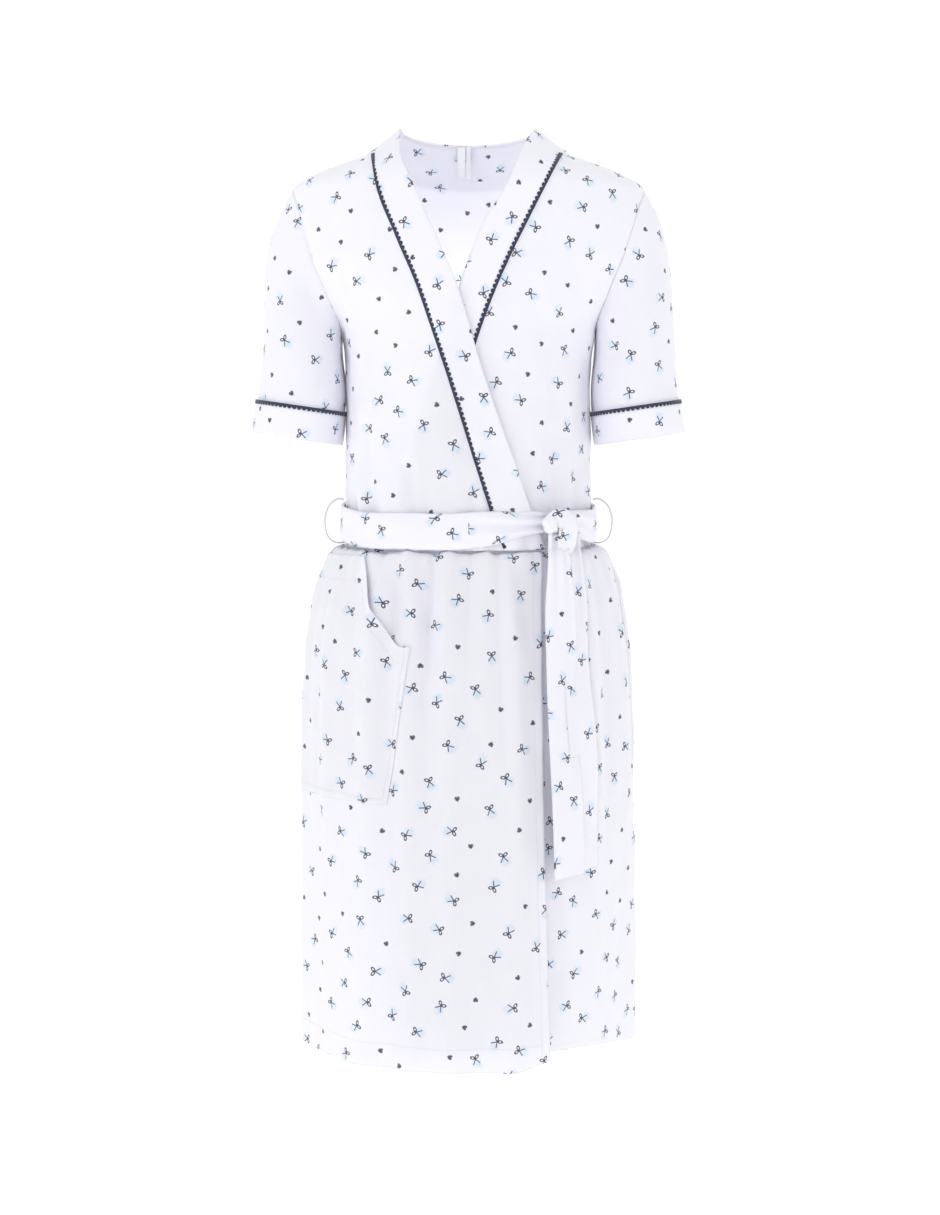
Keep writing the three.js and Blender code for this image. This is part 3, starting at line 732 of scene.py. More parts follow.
    def _knit(self, finish: Finish, flat: bpy.types.NodeSocket) -> None:
        """Raises the faint courses of the knit."""
        courses = finish.node("ShaderNodeTexWave", bands_direction="Y", Scale=0.314 / self.course)
        courses.inputs["Distortion"].default_value = 0.6
        courses.inputs["Detail"].default_value = 1.0
        finish.link(flat, courses.inputs["Vector"])
        fuzz = finish.node("ShaderNodeTexNoise", noise_dimensions="2D", Scale=900.0, Detail=3.0)
        finish.link(flat, fuzz.inputs["Vector"])
        height = finish.wire(courses.outputs[1]) * 0.6 + finish.wire(fuzz.outputs[0]) * 0.6
        finish.bump(height, strength=0.18, distance=0.0004)


@dataclass(frozen=True)
class Yarn:
    """Plain yarn or tape: its colour, a second shade, and how coarse its grain is."""

    colour: tuple[float, ...]
    shade: tuple[float, ...]
    grain: float
    roughness: float
    sheen: float

    def make(self, name: str) -> bpy.types.Material:
        """Builds the material on object coordinates."""
        finish = Finish(name)
        place = finish.node("ShaderNodeTexCoord").outputs["Object"]
        noise = finish.node("ShaderNodeTexNoise", Scale=self.grain, Detail=3.0)
        finish.link(place, noise.inputs["Vector"])
        grain = finish.wire(noise.outputs[0])
        finish.link(finish.blend(grain, self.colour, self.shade), finish.shader.inputs["Base Color"])
        finish.bump(grain, strength=0.35, distance=0.0004)
        finish.shader.inputs["Roughness"].default_value = self.roughness
        finish.shader.inputs["Sheen Weight"].default_value = self.sheen
        return finish.material


@dataclass
class Wardrobe:
    """Every finish of the gown."""

    jersey: bpy.types.Material = field(init=False)
    picot: bpy.types.Material = field(init=False)
    thread: bpy.types.Material = field(init=False)
    satin: bpy.types.Material = field(init=False)
    tape: bpy.types.Material = field(init=False)

    def __post_init__(self) -> None:
        """Builds the materials."""
        self.jersey = PrintedJersey().make("printed_jersey")
        self.picot = Yarn(
            colour=(0.018, 0.024, 0.060, 1), shade=(0.032, 0.040, 0.085, 1),
            grain=1500, roughness=0.72, sheen=0.2,
        ).make("picot_yarn")
        self.thread = Yarn(
            colour=(0.80, 0.79, 0.85, 1), shade=(0.68, 0.67, 0.74, 1),
            grain=1800, roughness=0.85, sheen=0.0,
        ).make("sewing_thread")
        self.satin = Yarn(
            colour=(0.90, 0.90, 0.92, 1), shade=(0.84, 0.84, 0.87, 1),
            grain=1400, roughness=0.45, sheen=0.0,
        ).make("label_satin")
        self.tape = Yarn(
            colour=(0.86, 0.87, 0.92, 1), shade=(0.78, 0.79, 0.86, 1),
            grain=1600, roughness=0.7, sheen=0.1,
        ).make("loop_tape")


def dress(piece: bpy.types.Object, material: bpy.types.Material, slot: str, *nodes: str) -> None:
    """Gives a piece its material, and hides the solids that it stands for."""
    piece.data.materials.append(material)
    if nodes:
        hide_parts(*nodes)
    log.info("%s: %d faces", piece.name, len(piece.data.polygons))


# ------------------------------------------------------------------ trims and stitches
@dataclass(frozen=True)
class Picot:
    """Narrow trim with a row of half-round scallops along one edge."""

    band: float = 0.0024
    radius: float = 0.0022
    pitch: float = 0.0052
    steps: int = 12
    thickness: float = 0.0007

    def lay(self, name: str, edge: Array, inward: Array, normal: Array) -> bpy.types.Object:
        """Sews the trim along an edge.

        Args:
            name: the piece's name.
            edge: points along the straight edge.
            inward: directions that the scallops point.
            normal: outward directions.

        Returns:
            The trim.
        """
        run = run_lengths(edge[None], axis=1)[0]
        scallops = max(1, round(run[-1] / self.pitch))
        stops = np.linspace(0.0, run[-1], scallops * self.steps + 1)
        edge, inward, normal = (along_line(stops, run, way) for way in (edge, inward, normal))
        pitch = run[-1] / scallops
        beside = (stops % pitch) - pitch / 2
        reach = self.band + np.sqrt(np.maximum(self.radius ** 2 - beside ** 2, 0.0))
        shares = np.array([0.0, 0.2, 0.5, 0.8, 1.0])[:, None]
        crown = 0.00025 * (1 - (2 * shares - 1) ** 4)[..., None]
        points = edge + inward * (shares * reach)[..., None] + normal * crown
        if np.dot(np.cross(edge[1] - edge[0], inward[0]), normal[0]) < 0:
            points = points[::-1]
        piece = cloth_piece(name, points, strip_uv(points, (0.0, 0.0)))
        thicken(piece, self.thickness)
        return piece


@dataclass(frozen=True)
class Stitching:
    """Row of lockstitches lying on the cloth."""

    pitch: float = 0.0030
    length: float = 0.0023
    radius: float = 0.00022

    def sew(self, name: str, rows: Sequence[tuple[Array, Array]], wardrobe: Wardrobe) -> bpy.types.Object:
        """Sews rows of stitches as one piece.

        Args:
            name: the piece's name.
            rows: for each row, the points that it follows and the outward directions there.
            wardrobe: the finishes.

        Returns:
            The stitches.
        """
        sewn = bmesh.new()
        for line, normal in rows:
            run = run_lengths(line[None], axis=1)[0]
            stops = np.arange(self.pitch / 2, run[-1], self.pitch)
            places, outs = along_line(stops, run, line), along_line(stops, run, normal)
            ahead = along_line(stops + self.pitch / 4, run, line)
            for place, out, front in zip(places, outs, ahead):
                self._stitch(sewn, Vector(place), Vector(out), Vector(front))
        piece = new_object(name, to_mesh(name, sewn))
        dress(piece, wardrobe.thread, "printed_jersey")
        return piece

    def _stitch(self, sewn: bmesh.types.BMesh, place: Vector, out: Vector, front: Vector) -> None:
        """Adds one stitch, a small long bead."""
        along = (front - place).normalized()
        if along.length < 0.5:
            return
        across = out.cross(along).normalized()
        out = along.cross(across)
        turn = Matrix((across, along, out)).transposed().to_4x4()
        size = Matrix.Diagonal((self.radius, self.length / 2, self.radius * 0.8, 1.0))
        matrix = Matrix.Translation(place + out * self.radius * 0.5) @ turn @ size
        bmesh.ops.create_icosphere(sewn, subdivisions=1, radius=1.0, matrix=matrix)


# ------------------------------------------------------------------ bodice and neckband
@dataclass
class Bodice:
    """Back and two lapping fronts, with the neckband and its trim round their inner edges."""

    form: BodyForm
    folds: Folds
    wardrobe: Wardrobe
    cloth: float = 0.0009
    band_cloth: float = 0.0018
    over_seam_at_v: float = 0.050
    over_free_at_v: float = 0.010
    over_seam_waist: float = 0.034
    over_free_waist: float = 0.076
    under_seam_at_v: float = 0.028
    under_seam_waist: float = 0.045
    under_free_waist: float = 0.084
    back_band_width: float = 0.046
    over_lift: float = 0.005
    tuck: float = 0.003
    band_proud: float = 0.0012
    trim_proud: float = 0.0020
    trim_short: float = 0.009
    columns: int = 78

    def __post_init__(self) -> None:
        """Lays the curves of the wrap: where the neckband's seam and its free edge cross."""
        form = self.form
        top, v, waist = form.z_seam_top, form.z_v, form.z_waist
        neck = form.neck_half_width
        wide = float(form.width(top))
        self.seam = {
            Side.RIGHT: SmoothCurve([
                (top, -wide), (mix(top, v, 0.31), -1.85 * self.over_seam_at_v),
                (mix(top, v, 0.67), -1.42 * self.over_seam_at_v), (v, -self.over_seam_at_v),
                (mix(v, waist, 0.85), self.over_seam_waist - 0.013), (waist, self.over_seam_waist),
            ]),
            Side.LEFT: SmoothCurve([
                (top, wide), (mix(top, v, 0.35), 2.64 * self.under_seam_at_v), (v, self.under_seam_at_v),
                (mix(v, waist, 0.22), 0.25 * self.under_seam_at_v), (waist, -self.under_seam_waist),
            ]),
        }
        self.free = {
            Side.RIGHT: SmoothCurve([
                (form.z_neck, -neck), (-form.band_rise, -neck), (-form.band_rise - 0.041, -0.8 * neck),
                (mix(top, v, 0.67), -3 * self.over_free_at_v), (v, -self.over_free_at_v),
                (mix(v, waist, 0.31), 0.18 * self.over_free_waist),
                (mix(v, waist, 0.67), 0.6 * self.over_free_waist), (waist, self.over_free_waist),
            ]),
            Side.LEFT: SmoothCurve([
                (form.z_neck, neck), (-form.band_rise, 0.8 * neck), (-form.band_rise - 0.041, 0.56 * neck),
                (mix(top, v, 0.58), 0.19 * neck), (v, -self.over_free_at_v), (waist, -self.under_free_waist),
            ]),
        }

    def rows(self, top: float) -> Array:
        """Heights of a panel's rows up to its top, closer together where the armhole curves."""
        form = self.form
        low = np.linspace(form.z_waist, form.z_underarm, 72, endpoint=False)
        armhole = form.armhole_height(math.pi * (1 - np.linspace(0, 1, 56)))
        shoulder = np.linspace(form.z_shoulder, top, 14)[1:]
        return np.concatenate([low, armhole, shoulder])[:, None]

    def lift(self, side: Side, angle: Array, z: Array) -> Array:
        """How far outside the form a front lies: the right one rises over the left one."""
        if side is Side.LEFT:
            return np.zeros(np.broadcast(angle, z).shape)
        form = self.form
        around = smoothstep(angle, math.radians(-85), math.radians(-50))
        return self.over_lift * around * smoothstep(-z, -form.z_shoulder, form.v_depth - 0.010)

    def front(self, side: Side) -> tuple[bpy.types.Object, Array]:
        """Lays one front panel, whose inner edge tucks in under the neckband."""
        form = self.form
        z = self.rows(form.z_seam_top)
        outer = side.value * (QUARTER - form.armhole_cut(z))
        inner = front_angle(self.seam[side](z) - side.value * self.tuck, form.width(z))
        share = np.linspace(0, 1, self.columns + 1)[None, :]
        angle = mix(outer, inner, share) if side is Side.RIGHT else mix(inner, outer, share)
        base = form.body(angle, z)
        folded = self.folds.bodice(angle, z) * self.folds.edge_free(angle, z)
        points = base + grid_normals(base) * (self.lift(side, angle, z) + folded)[..., None]
        corner = (0.31, 0.17) if side is Side.RIGHT else (0.83, 0.44)
        name = f"front_{side.layer}_cloth"
        return cloth_piece(name, points, panel_uv(form.body, angle, z, 0.0, corner)), points

    def back_neck(self, turn: Array, share: Array) -> tuple[Array, Array]:
        """Angle and height on the back neck: share 0 is the band's seam and 1 its top edge."""
        form = self.form
        end = mix(form.z_seam_top, form.z_neck, share)
        dip = mix(self.back_band_width - form.band_rise, form.neck_rise, share)
        z = end - dip * np.sin(turn)
        angle = np.arcsin(np.clip(form.width(end) * np.cos(turn) / form.width(z), -1.0, 1.0))
        return math.pi - angle, z

    def back(self) -> tuple[bpy.types.Object, Array]:
        """Lays the back panel, which runs up behind the neckband."""
        form = self.form
        level = self.rows(form.z_seam_top)
        u = np.linspace(0, 1, 2 * self.columns + 1)[None, :]
        top_angle, top_height = self.back_neck(u * math.pi, np.zeros_like(u) + 0.97)
        rise = np.maximum(0.0, (level - form.z_shoulder) / (form.z_seam_top - form.z_shoulder))
        z = np.where(level <= form.z_shoulder, level, mix(form.z_shoulder, top_height, rise))
        cut = form.armhole_cut(z)
        share = mix(u, (top_angle - QUARTER) / math.pi, rise)
        angle = mix(QUARTER + cut, 3 * QUARTER - cut, share)
        base = form.body(angle, z)
        mask = self.folds.edge_free(np.where(angle > math.pi, angle - math.pi, angle), z)
        folded = self.folds.bodice(angle, z) * mask
        points = base + grid_normals(base) * folded[..., None]
        piece = cloth_piece("back_cloth", points, panel_uv(form.body, angle, z, math.pi, (1.30, 0.62)))
        return piece, points

    def band_places(self, side: Side, share: Array, seam_z: Array) -> tuple[Array, Array]:
        """Angle and height on a front neckband: share 0 is its seam and 1 its free edge."""
        form = self.form
        free_z = mix(form.z_waist, form.z_neck, (seam_z - form.z_waist) / (form.z_seam_top - form.z_waist))
        seam = front_angle(self.seam[side](seam_z), form.width(seam_z))
        free = front_angle(self.free[side](free_z), form.width(free_z))
        return np.clip(mix(seam, free, share), -QUARTER, QUARTER), mix(seam_z, free_z, share)

    def front_band(self, side: Side) -> tuple[bpy.types.Object, Array]:
        """Lays a front neckband from the waist up to the shoulder."""
        form = self.form
        share = np.linspace(0, 1, 19)[None, :]
        if side is Side.LEFT:
            share = share[:, ::-1]
        seam_z = np.linspace(form.z_waist, form.z_seam_top, 170)[:, None]
        angle, z = self.band_places(side, share, seam_z)
        base = form.body(angle, z)
        folded = self.folds.bodice(angle, z) * self.folds.edge_free(angle, z)
        crown = 0.0006 * (1 - (2 * share - 1) ** 6)
        out = self.lift(side, angle, z) + folded + self.band_proud + crown
        points = base + grid_normals(base) * out[..., None]
        corner = (0.11, 1.20) if side is Side.RIGHT else (0.47, 1.55)
        return cloth_piece(f"neckband_{side.layer}_cloth", points, strip_uv(points, corner)), points

    def back_band(self) -> tuple[bpy.types.Object, Array]:
        """Lays the neckband round the back of the neck."""
        turn = np.linspace(0, math.pi, 97)[None, :]
        share = np.linspace(0, 1, 19)[:, None]
        angle, z = self.back_neck(turn, share)
        base = self.form.body(angle, z)
        crown = 0.0006 * (1 - (2 * share - 1) ** 6)
        points = base + grid_normals(base) * (self.band_proud + crown)[..., None]
        return cloth_piece("neckband_back_cloth", points, strip_uv(points, (0.71, 1.90))), points

    def trims(self) -> None:
        """Sews the picot trim along the neckband's seam."""
        form = self.form
        share = np.array([0.0, 0.12])
        for side in Side:
            seam_z = np.linspace(form.z_waist + 0.002, form.z_seam_top - self.trim_short, 300)[:, None]
            angle, z = self.band_places(side, share[None, :], seam_z)
            base = form.body(angle, z)
            normal = grid_normals(base)[:, 0] * -side.value
            folded = (self.folds.bodice(angle, z) * self.folds.edge_free(angle, z))[:, 0]
            out = self.lift(side, angle, z)[:, 0] + folded + self.trim_proud
            edge = base[:, 0] + normal * out[:, None]
            node = f"neck_trim_{side.layer}"
            self._trim(f"{node}_picot", edge, base[:, 1] - base[:, 0], normal, node)
        turn = np.linspace(0, math.pi, 200)[None, :]
        angle, z = self.back_neck(turn, share[:, None])
        base = form.body(angle, z)
        normal = grid_normals(base)[0]
        edge = base[0] + normal * self.trim_proud
        self._trim("neck_trim_back_picot", edge, base[1] - base[0], normal, "neck_trim_back")

    def _trim(self, name: str, edge: Array, inward: Array, normal: Array, node: str) -> None:
        """Sews one length of trim and dresses it."""
        inward = unit(inward)
        piece = Picot().lay(name, edge, inward, normal)
        dress(piece, self.wardrobe.picot, "picot_trim", node)
        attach(piece, "robe")

    def build(self) -> None:
        """Makes every piece of the bodice."""
        makes = [
            (self.front(Side.RIGHT), "bodice_front_over", self.cloth, "printed_jersey"),
            (self.front(Side.LEFT), "bodice_front_under", self.cloth, "printed_jersey"),
            (self.back(), "bodice_back", self.cloth, "printed_jersey"),
            (self.front_band(Side.RIGHT), "neckband_over", self.band_cloth, "band_jersey"),
            (self.front_band(Side.LEFT), "neckband_under", self.band_cloth, "band_jersey"),
            (self.back_band(), "neckband_back", self.band_cloth, "band_jersey"),
        ]
        for (piece, points), node, thickness, slot in makes:
            thicken(piece, thickness)
            dress(piece, self.wardrobe.jersey, slot, node)
            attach(piece, "robe")
        self.trims()


# ------------------------------------------------------------------ sleeves
@dataclass
class Sleeve:
    """Short set-in sleeve with a turned cuff and its trim."""

    form: BodyForm
    folds: Folds
    wardrobe: Wardrobe
    side: Side
    drop: float = 0.218
    cuff_half_width: float = 0.0461
    cuff_half_depth: float = 0.060
    cuff_height: float = 0.035
    lean: float = math.radians(8.2)
    clearance: float = 0.0004
    forward: float = 0.004
    top_lean: float = 0.52
    under_lean: float = 0.06
    cloth: float = 0.0009
    cuff_cloth: float = 0.0018
    bend_length: float = 0.052
    segments: int = 112
    rows: int = 70

    def __post_init__(self) -> None:
        """Sets the cuff's directions and the centre of its seam."""
        sign = self.side.value
        self.across = np.array([sign * math.cos(self.lean), 0.0, math.sin(self.lean)])
        self.along = np.array([sign * math.sin(self.lean), 0.0, -math.cos(self.lean)])
        outer = self.form.half_width + self.clearance + 2 * self.cuff_half_width * math.cos(self.lean)
        start = np.array([sign * outer, self.form.axis_y - self.forward, self.form.z_shoulder - self.drop])
        self.seam_centre = start - self.across * self.cuff_half_width

    def cuff_point(self, turn: Array, below: Array, reach: Array) -> Array:
        """Points on the oval of the sleeve's end, a distance below the cuff seam."""
        turn, below, reach = np.broadcast_arrays(turn, below, reach)
        spread = reach + below * 0.03
        wide = ((self.cuff_half_width + spread) * np.cos(turn))[..., None]
        deep = -((self.cuff_half_depth + spread) * np.sin(turn))[..., None]
        back = np.array([0, 1, 0]) * deep
        return self.seam_centre + self.along * below[..., None] + self.across * wide + back

    def sleeve_point(self, turn: Array, share: Array) -> Array:
        """Points down the sleeve, from the armhole at share 0 to the cuff seam at 1."""
        form, sign = self.form, self.side.value
        start = form.body(sign * (QUARTER - form.armhole_spread * np.sin(turn)), form.armhole_height(turn))
        fall = (1 - np.cos(turn)) / 2
        outward = mix(self.top_lean, self.under_lean, fall)
        off = np.stack([sign * outward, 0 * fall, -np.sqrt(1 - outward ** 2)], axis=-1)
        end = self.cuff_point(turn, np.zeros_like(turn), np.zeros_like(turn))
        pull = 0.4 * np.linalg.norm(end - start, axis=-1, keepdims=True)
        knots = [start, start + off * pull, end - self.along * pull, end]
        t = np.asarray(share)[..., None]
        weights = [(1 - t) ** 3, 3 * t * (1 - t) ** 2, 3 * t ** 2 * (1 - t), t ** 3]
        return sum(weight * knot for weight, knot in zip(weights, knots))

    def creases(self, turn: Array, share: Array) -> Array:
        """Folds that run from the underarm round the sleeve, clear of both of its seams."""
        free = smoothstep(share, 0.0, 0.22) * (1 - smoothstep(share, 0.82, 1.0))
        under = 0.5 - 0.5 * np.cos(turn)
        slant = turn * 2.0 + share * 5.0
        wave = np.sin(slant * 1.5 + self.side.value) + 0.6 * np.sin(turn * 3 - share * 4.0)
        beside = 1 - 0.92 * smoothstep(-np.cos(turn), 0.45, 0.85)
        return free * beside * (0.0010 + 0.0026 * under) * wave

    def build(self) -> None:
        """Makes the sleeve, cuff and trim."""
        ways = np.linspace(0, 2 * math.pi, self.segments + 1)[None, :]
        turn = ways if self.side is Side.RIGHT else -ways
        share = np.linspace(1, 0, self.rows + 1)[:, None]
        turn, share = np.broadcast_arrays(turn, share)
        base = self.sleeve_point(turn, share)
        points = base + tube_normals(base) * self.creases(turn, share)[..., None]
        corner = (0.20, 2.30) if self.side is Side.RIGHT else (0.90, 2.70)
        sleeve = cloth_piece(f"sleeve_{self.side.word}_cloth", points, tube_uv(points, corner), tube=True)
        self._finish(sleeve, self.cloth, "printed_jersey", f"sleeve_{self.side.word}")
        below = np.linspace(self.cuff_height, -0.0005, 15)[:, None]
        edge = np.linspace(0, 1, 15)[:, None]
        reach = 0.0010 + 0.0006 * (1 - (2 * edge - 1) ** 6)
        points = self.cuff_point(turn[:1], below, reach)
        cuff = cloth_piece(f"cuff_{self.side.word}_cloth", points, strip_uv(points, (corner[0], 3.3)), tube=True)
        self._finish(cuff, self.cuff_cloth, "band_jersey", f"cuff_{self.side.word}")
        self._trim(turn[0])

    def _finish(self, piece: bpy.types.Object, thickness: float,
                slot: str, node: str) -> None:
        """Dresses a tube of the sleeve and bakes its transform into its mesh."""
        thicken(piece, thickness)
        dress(piece, self.wardrobe.jersey, slot, node)
        self.bend(piece)

    def _trim(self, turn: Array) -> None:
        """Sews the trim below the cuff seam, with its scallops pointing down."""
        fine = np.interp(np.linspace(0, 1, 400), np.linspace(0, 1, len(turn)), turn)
        edge = self.cuff_point(fine, 0.0003, 0.0027)
        centre = self.cuff_point(fine, 0.0003, 0.0017)
        normal = edge - centre
        normal = unit(normal)
        inward = np.broadcast_to(self.along, edge.shape)
        piece = Picot().lay(f"cuff_trim_{self.side.word}_picot", edge, inward, normal)
        dress(piece, self.wardrobe.picot, "picot_trim", f"cuff_trim_{self.side.word}")
        self.bend(piece)

    def bend(self, piece: bpy.types.Object) -> None:
        """Bakes the piece's transform into its mesh."""
        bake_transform(piece)


# ------------------------------------------------------------------ skirt and pocket
@dataclass
class Skirt:
    """Gathered skirt in a back and two lapping fronts, with a patch pocket on the right front."""

    form: BodyForm
    folds: Folds
    wardrobe: Wardrobe
    cloth: float = 0.0009
    over_edge_waist: float = 0.075
    over_edge_hem: float = 0.085
    under_edge: float = 0.084
    under_setback: float = 0.014
    under_hem_lift: float = 0.012
    belt_clearance: float = 0.0015
    hem_depth: float = 0.025
    facing: float = 0.0085
    pocket_top: float = 0.097
    pocket_height: float = 0.160
    pocket_bulge: float = 0.0042
    pocket_side: float = math.radians(84)
    pocket_inner_top: float = 0.057
    pocket_inner_bottom: float = 0.084
    pocket_top_gap: float = 0.008
    mouth_bend: float = 0.042
    mouth_top: tuple[float, float] = (0.62, 0.76)
    mouth_foot: tuple[float, float] = (0.70, 0.94)
    mouth_lip: float = 0.0035
    held_top: float = 0.004
    swing_depth: float = 0.250
    rows: int = 170

    def drops(self, length: float) -> Array:
        """Distances below the waist, closer together near the gathers."""
        share = np.linspace(1, 0, self.rows + 1)[:, None]
        return length * (0.25 * share ** 2.4 + 0.75 * share)

    def over_edge(self, z: Array) -> Array:
        """Where the right front's free edge crosses."""
        share = (self.form.z_waist - z) / (self.form.z_waist - self.form.z_hem)
        return mix(self.over_edge_waist, self.over_edge_hem, np.clip(share, 0, 1) ** 2)

    def skin(self, angle: Array, z: Array, out: Array = 0.0) -> tuple[Array, Array]:
        """Folded points of the skirt and their outward directions."""
        base = self.form.skirt(angle, z)
        normal = grid_normals(base)
        return base + normal * (self.folds.skirt(angle, z) + out)[..., None], normal

    def over_places(self) -> tuple[Array, Array]:
        """Angles and heights of the right front."""
        form = self.form
        length = form.z_waist - form.z_hem
        z = form.z_waist - self.belt_clearance - self.drops(length - self.belt_clearance)
        share = np.linspace(0, 1, 125)[None, :]
        return mix(-QUARTER, front_angle(self.over_edge(z), form.skirt_width(z)), share), z

    def over(self) -> tuple[bpy.types.Object, Array]:
        """Lays the right front, whose lower corner lifts a little."""
        angle, z = self.over_places()
        near = smoothstep(angle, 0.25, 0.55) * smoothstep(self.form.z_waist - z, 0.40, 0.53)
        z = np.broadcast_to(z, angle.shape) + 0.008 * near
        points, _ = self.skin(angle, z)
        uv = panel_uv(self.form.skirt, angle, z, 0.0, (2.10, 0.15))
        return cloth_piece("skirt_over_cloth", points, uv), points

    def under(self) -> tuple[bpy.types.Object, Array]:
        """Lays the left front, which drops back and up where the right one covers it."""
        form = self.form
        length = form.z_waist - form.z_hem
        level = form.z_waist - self.drops(length)
        share = np.linspace(0, 1, 115)[None, :]
        start = front_angle(np.full_like(level, -self.under_edge), form.skirt_width(level))
        angle = mix(start, QUARTER, share)
        covered = smoothstep(-angle, math.radians(-85), math.radians(-45))
        z = form.z_waist - (form.z_waist - level) * (1 - self.under_hem_lift * covered / length)
        out = -covered * mix(0.003, self.under_setback, (form.z_waist - z) / length)
        points, _ = self.skin(angle, z, out)
        uv = panel_uv(form.skirt, angle, z, 0.0, (2.90, 0.37))
        return cloth_piece("skirt_under_cloth", points, uv), points

    def back(self) -> tuple[bpy.types.Object, Array]:
        """Lays the back of the skirt."""
        form = self.form
        z = form.z_waist - self.drops(form.z_waist - form.z_hem)
        angle = np.broadcast_to(np.linspace(QUARTER, 3 * QUARTER, 211)[None, :], (z.shape[0], 211))
        points, _ = self.skin(angle, z)
        uv = panel_uv(form.skirt, angle, z, math.pi, (3.90, 0.58))
        return cloth_piece("skirt_back_cloth", points, uv), points

    def pocket_places(self, u: Array, v: Array) -> tuple[Array, Array, Array]:
        """Angle, height and stand-out on the pocket, whose mouth slants down towards the front."""
        form = self.form
        corner = form.z_waist - self.pocket_top
        low = corner - self.pocket_height
        climb = self.pocket_top - self.pocket_top_gap - self.mouth_bend
        mouth = corner + self.mouth_bend * (1 - smoothstep(u, *self.mouth_foot))
        mouth = mouth + climb * (1 - smoothstep(u, *self.mouth_top))
        z = mix(low, mouth, v)
        rise = np.clip((z - low) / self.pocket_height, 0.0, 1.0)
        inner = front_angle(-mix(self.pocket_inner_bottom, self.pocket_inner_top, rise), form.skirt_width(z))
        angle = mix(-self.pocket_side, inner, u)
        above = smoothstep(z, corner, form.z_waist)
        near = np.exp(-(((u - 0.74) / 0.13) ** 2)) * smoothstep(z, corner - 0.03, corner + 0.02)
        full = np.sin(math.pi * u) * rise ** 1.6 * (1 - 0.8 * above)
        return angle, z, 0.0013 + self.pocket_bulge * full + self.mouth_lip * near

    def pocket(self) -> tuple[bpy.types.Object, Array]:
        """Lays the pocket."""
        u, v = np.meshgrid(np.linspace(0, 1, 120), np.linspace(0, 1, 120))
        angle, z, out = self.pocket_places(u, v)
        points, _ = self.skin(angle, z, out)
        uv = panel_uv(self.form.skirt, angle, z, 0.0, (3.37, 0.91))
        return cloth_piece("pocket_cloth", points, uv), points

    def swing(self, piece: bpy.types.Object) -> None:
        """Bakes the piece's transform into its mesh."""
        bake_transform(piece)

    def stitches(self) -> None:
        """Sews the hems, the facing of the free edge and the pocket."""
        form, sewing = self.form, Stitching()
        z_line = form.z_hem + self.hem_depth
        swung, fixed = [], []
        for angles, rows in (((-QUARTER, 0.44), swung), ((QUARTER, 3 * QUARTER), fixed)):
            angle = np.linspace(*angles, 260)[None, :].repeat(2, axis=0)
            z = np.array([[z_line], [z_line + 0.001]])
            points, normal = self.skin(angle, z, 0.0002)
            rows.append((points[0], normal[0]))
        z = np.linspace(form.z_hem + 0.010, form.z_waist - 0.004, 260)[:, None]
        edge = self.over_edge(z) - self.facing
        angle = front_angle(edge + np.array([[0.0, 0.001]]), form.skirt_width(z))
        points, normal = self.skin(angle, z, 0.0002)
        swung.append((points[:, 0], normal[:, 0]))
        swung.extend(self._pocket_rows())
        over = sewing.sew("skirt_over_stitching", swung, self.wardrobe)
        self.swing(over)
        back = sewing.sew("skirt_back_stitching", fixed, self.wardrobe)
        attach(back, "robe")

    def _pocket_rows(self) -> list[tuple[Array, Array]]:
        """Rows of stitches round the pocket and along its mouth."""
        inset, mouth = 0.03, 0.90
        line = np.linspace(inset, 1.0 - inset, 120)
        grids = [
            np.meshgrid([inset, inset + 0.01], line),
            np.meshgrid([1 - inset, 1 - inset + 0.01], line),
            np.meshgrid(line, [inset, inset + 0.01]),
            np.meshgrid(line, [mouth, mouth + 0.01]),
        ]
        rows = []
        for index, (u, v) in enumerate(grids):
            points, normal = self.skin(*self.pocket_places(u, v))
            points = points + normal * 0.0003
            rows.append((points[:, 0], normal[:, 0]) if index < 2 else (points[0], normal[0]))
        return rows

    def build(self) -> None:
        """Makes every piece of the skirt."""
        makes = [
            (self.over(), "skirt_front_over", True),
            (self.pocket(), "pocket", True),
            (self.under(), "skirt_front_under", False),
            (self.back(), "skirt_back", False),
        ]
        for (piece, points), node, swings in makes:
            thicken(piece, self.cloth)
            dress(piece, self.wardrobe.jersey, "printed_jersey", node)
            held = "gathered" if node != "pocket" else "hung"
            if swings:
                self.swing(piece)
            else:
                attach(piece, "robe")
        self.stitches()


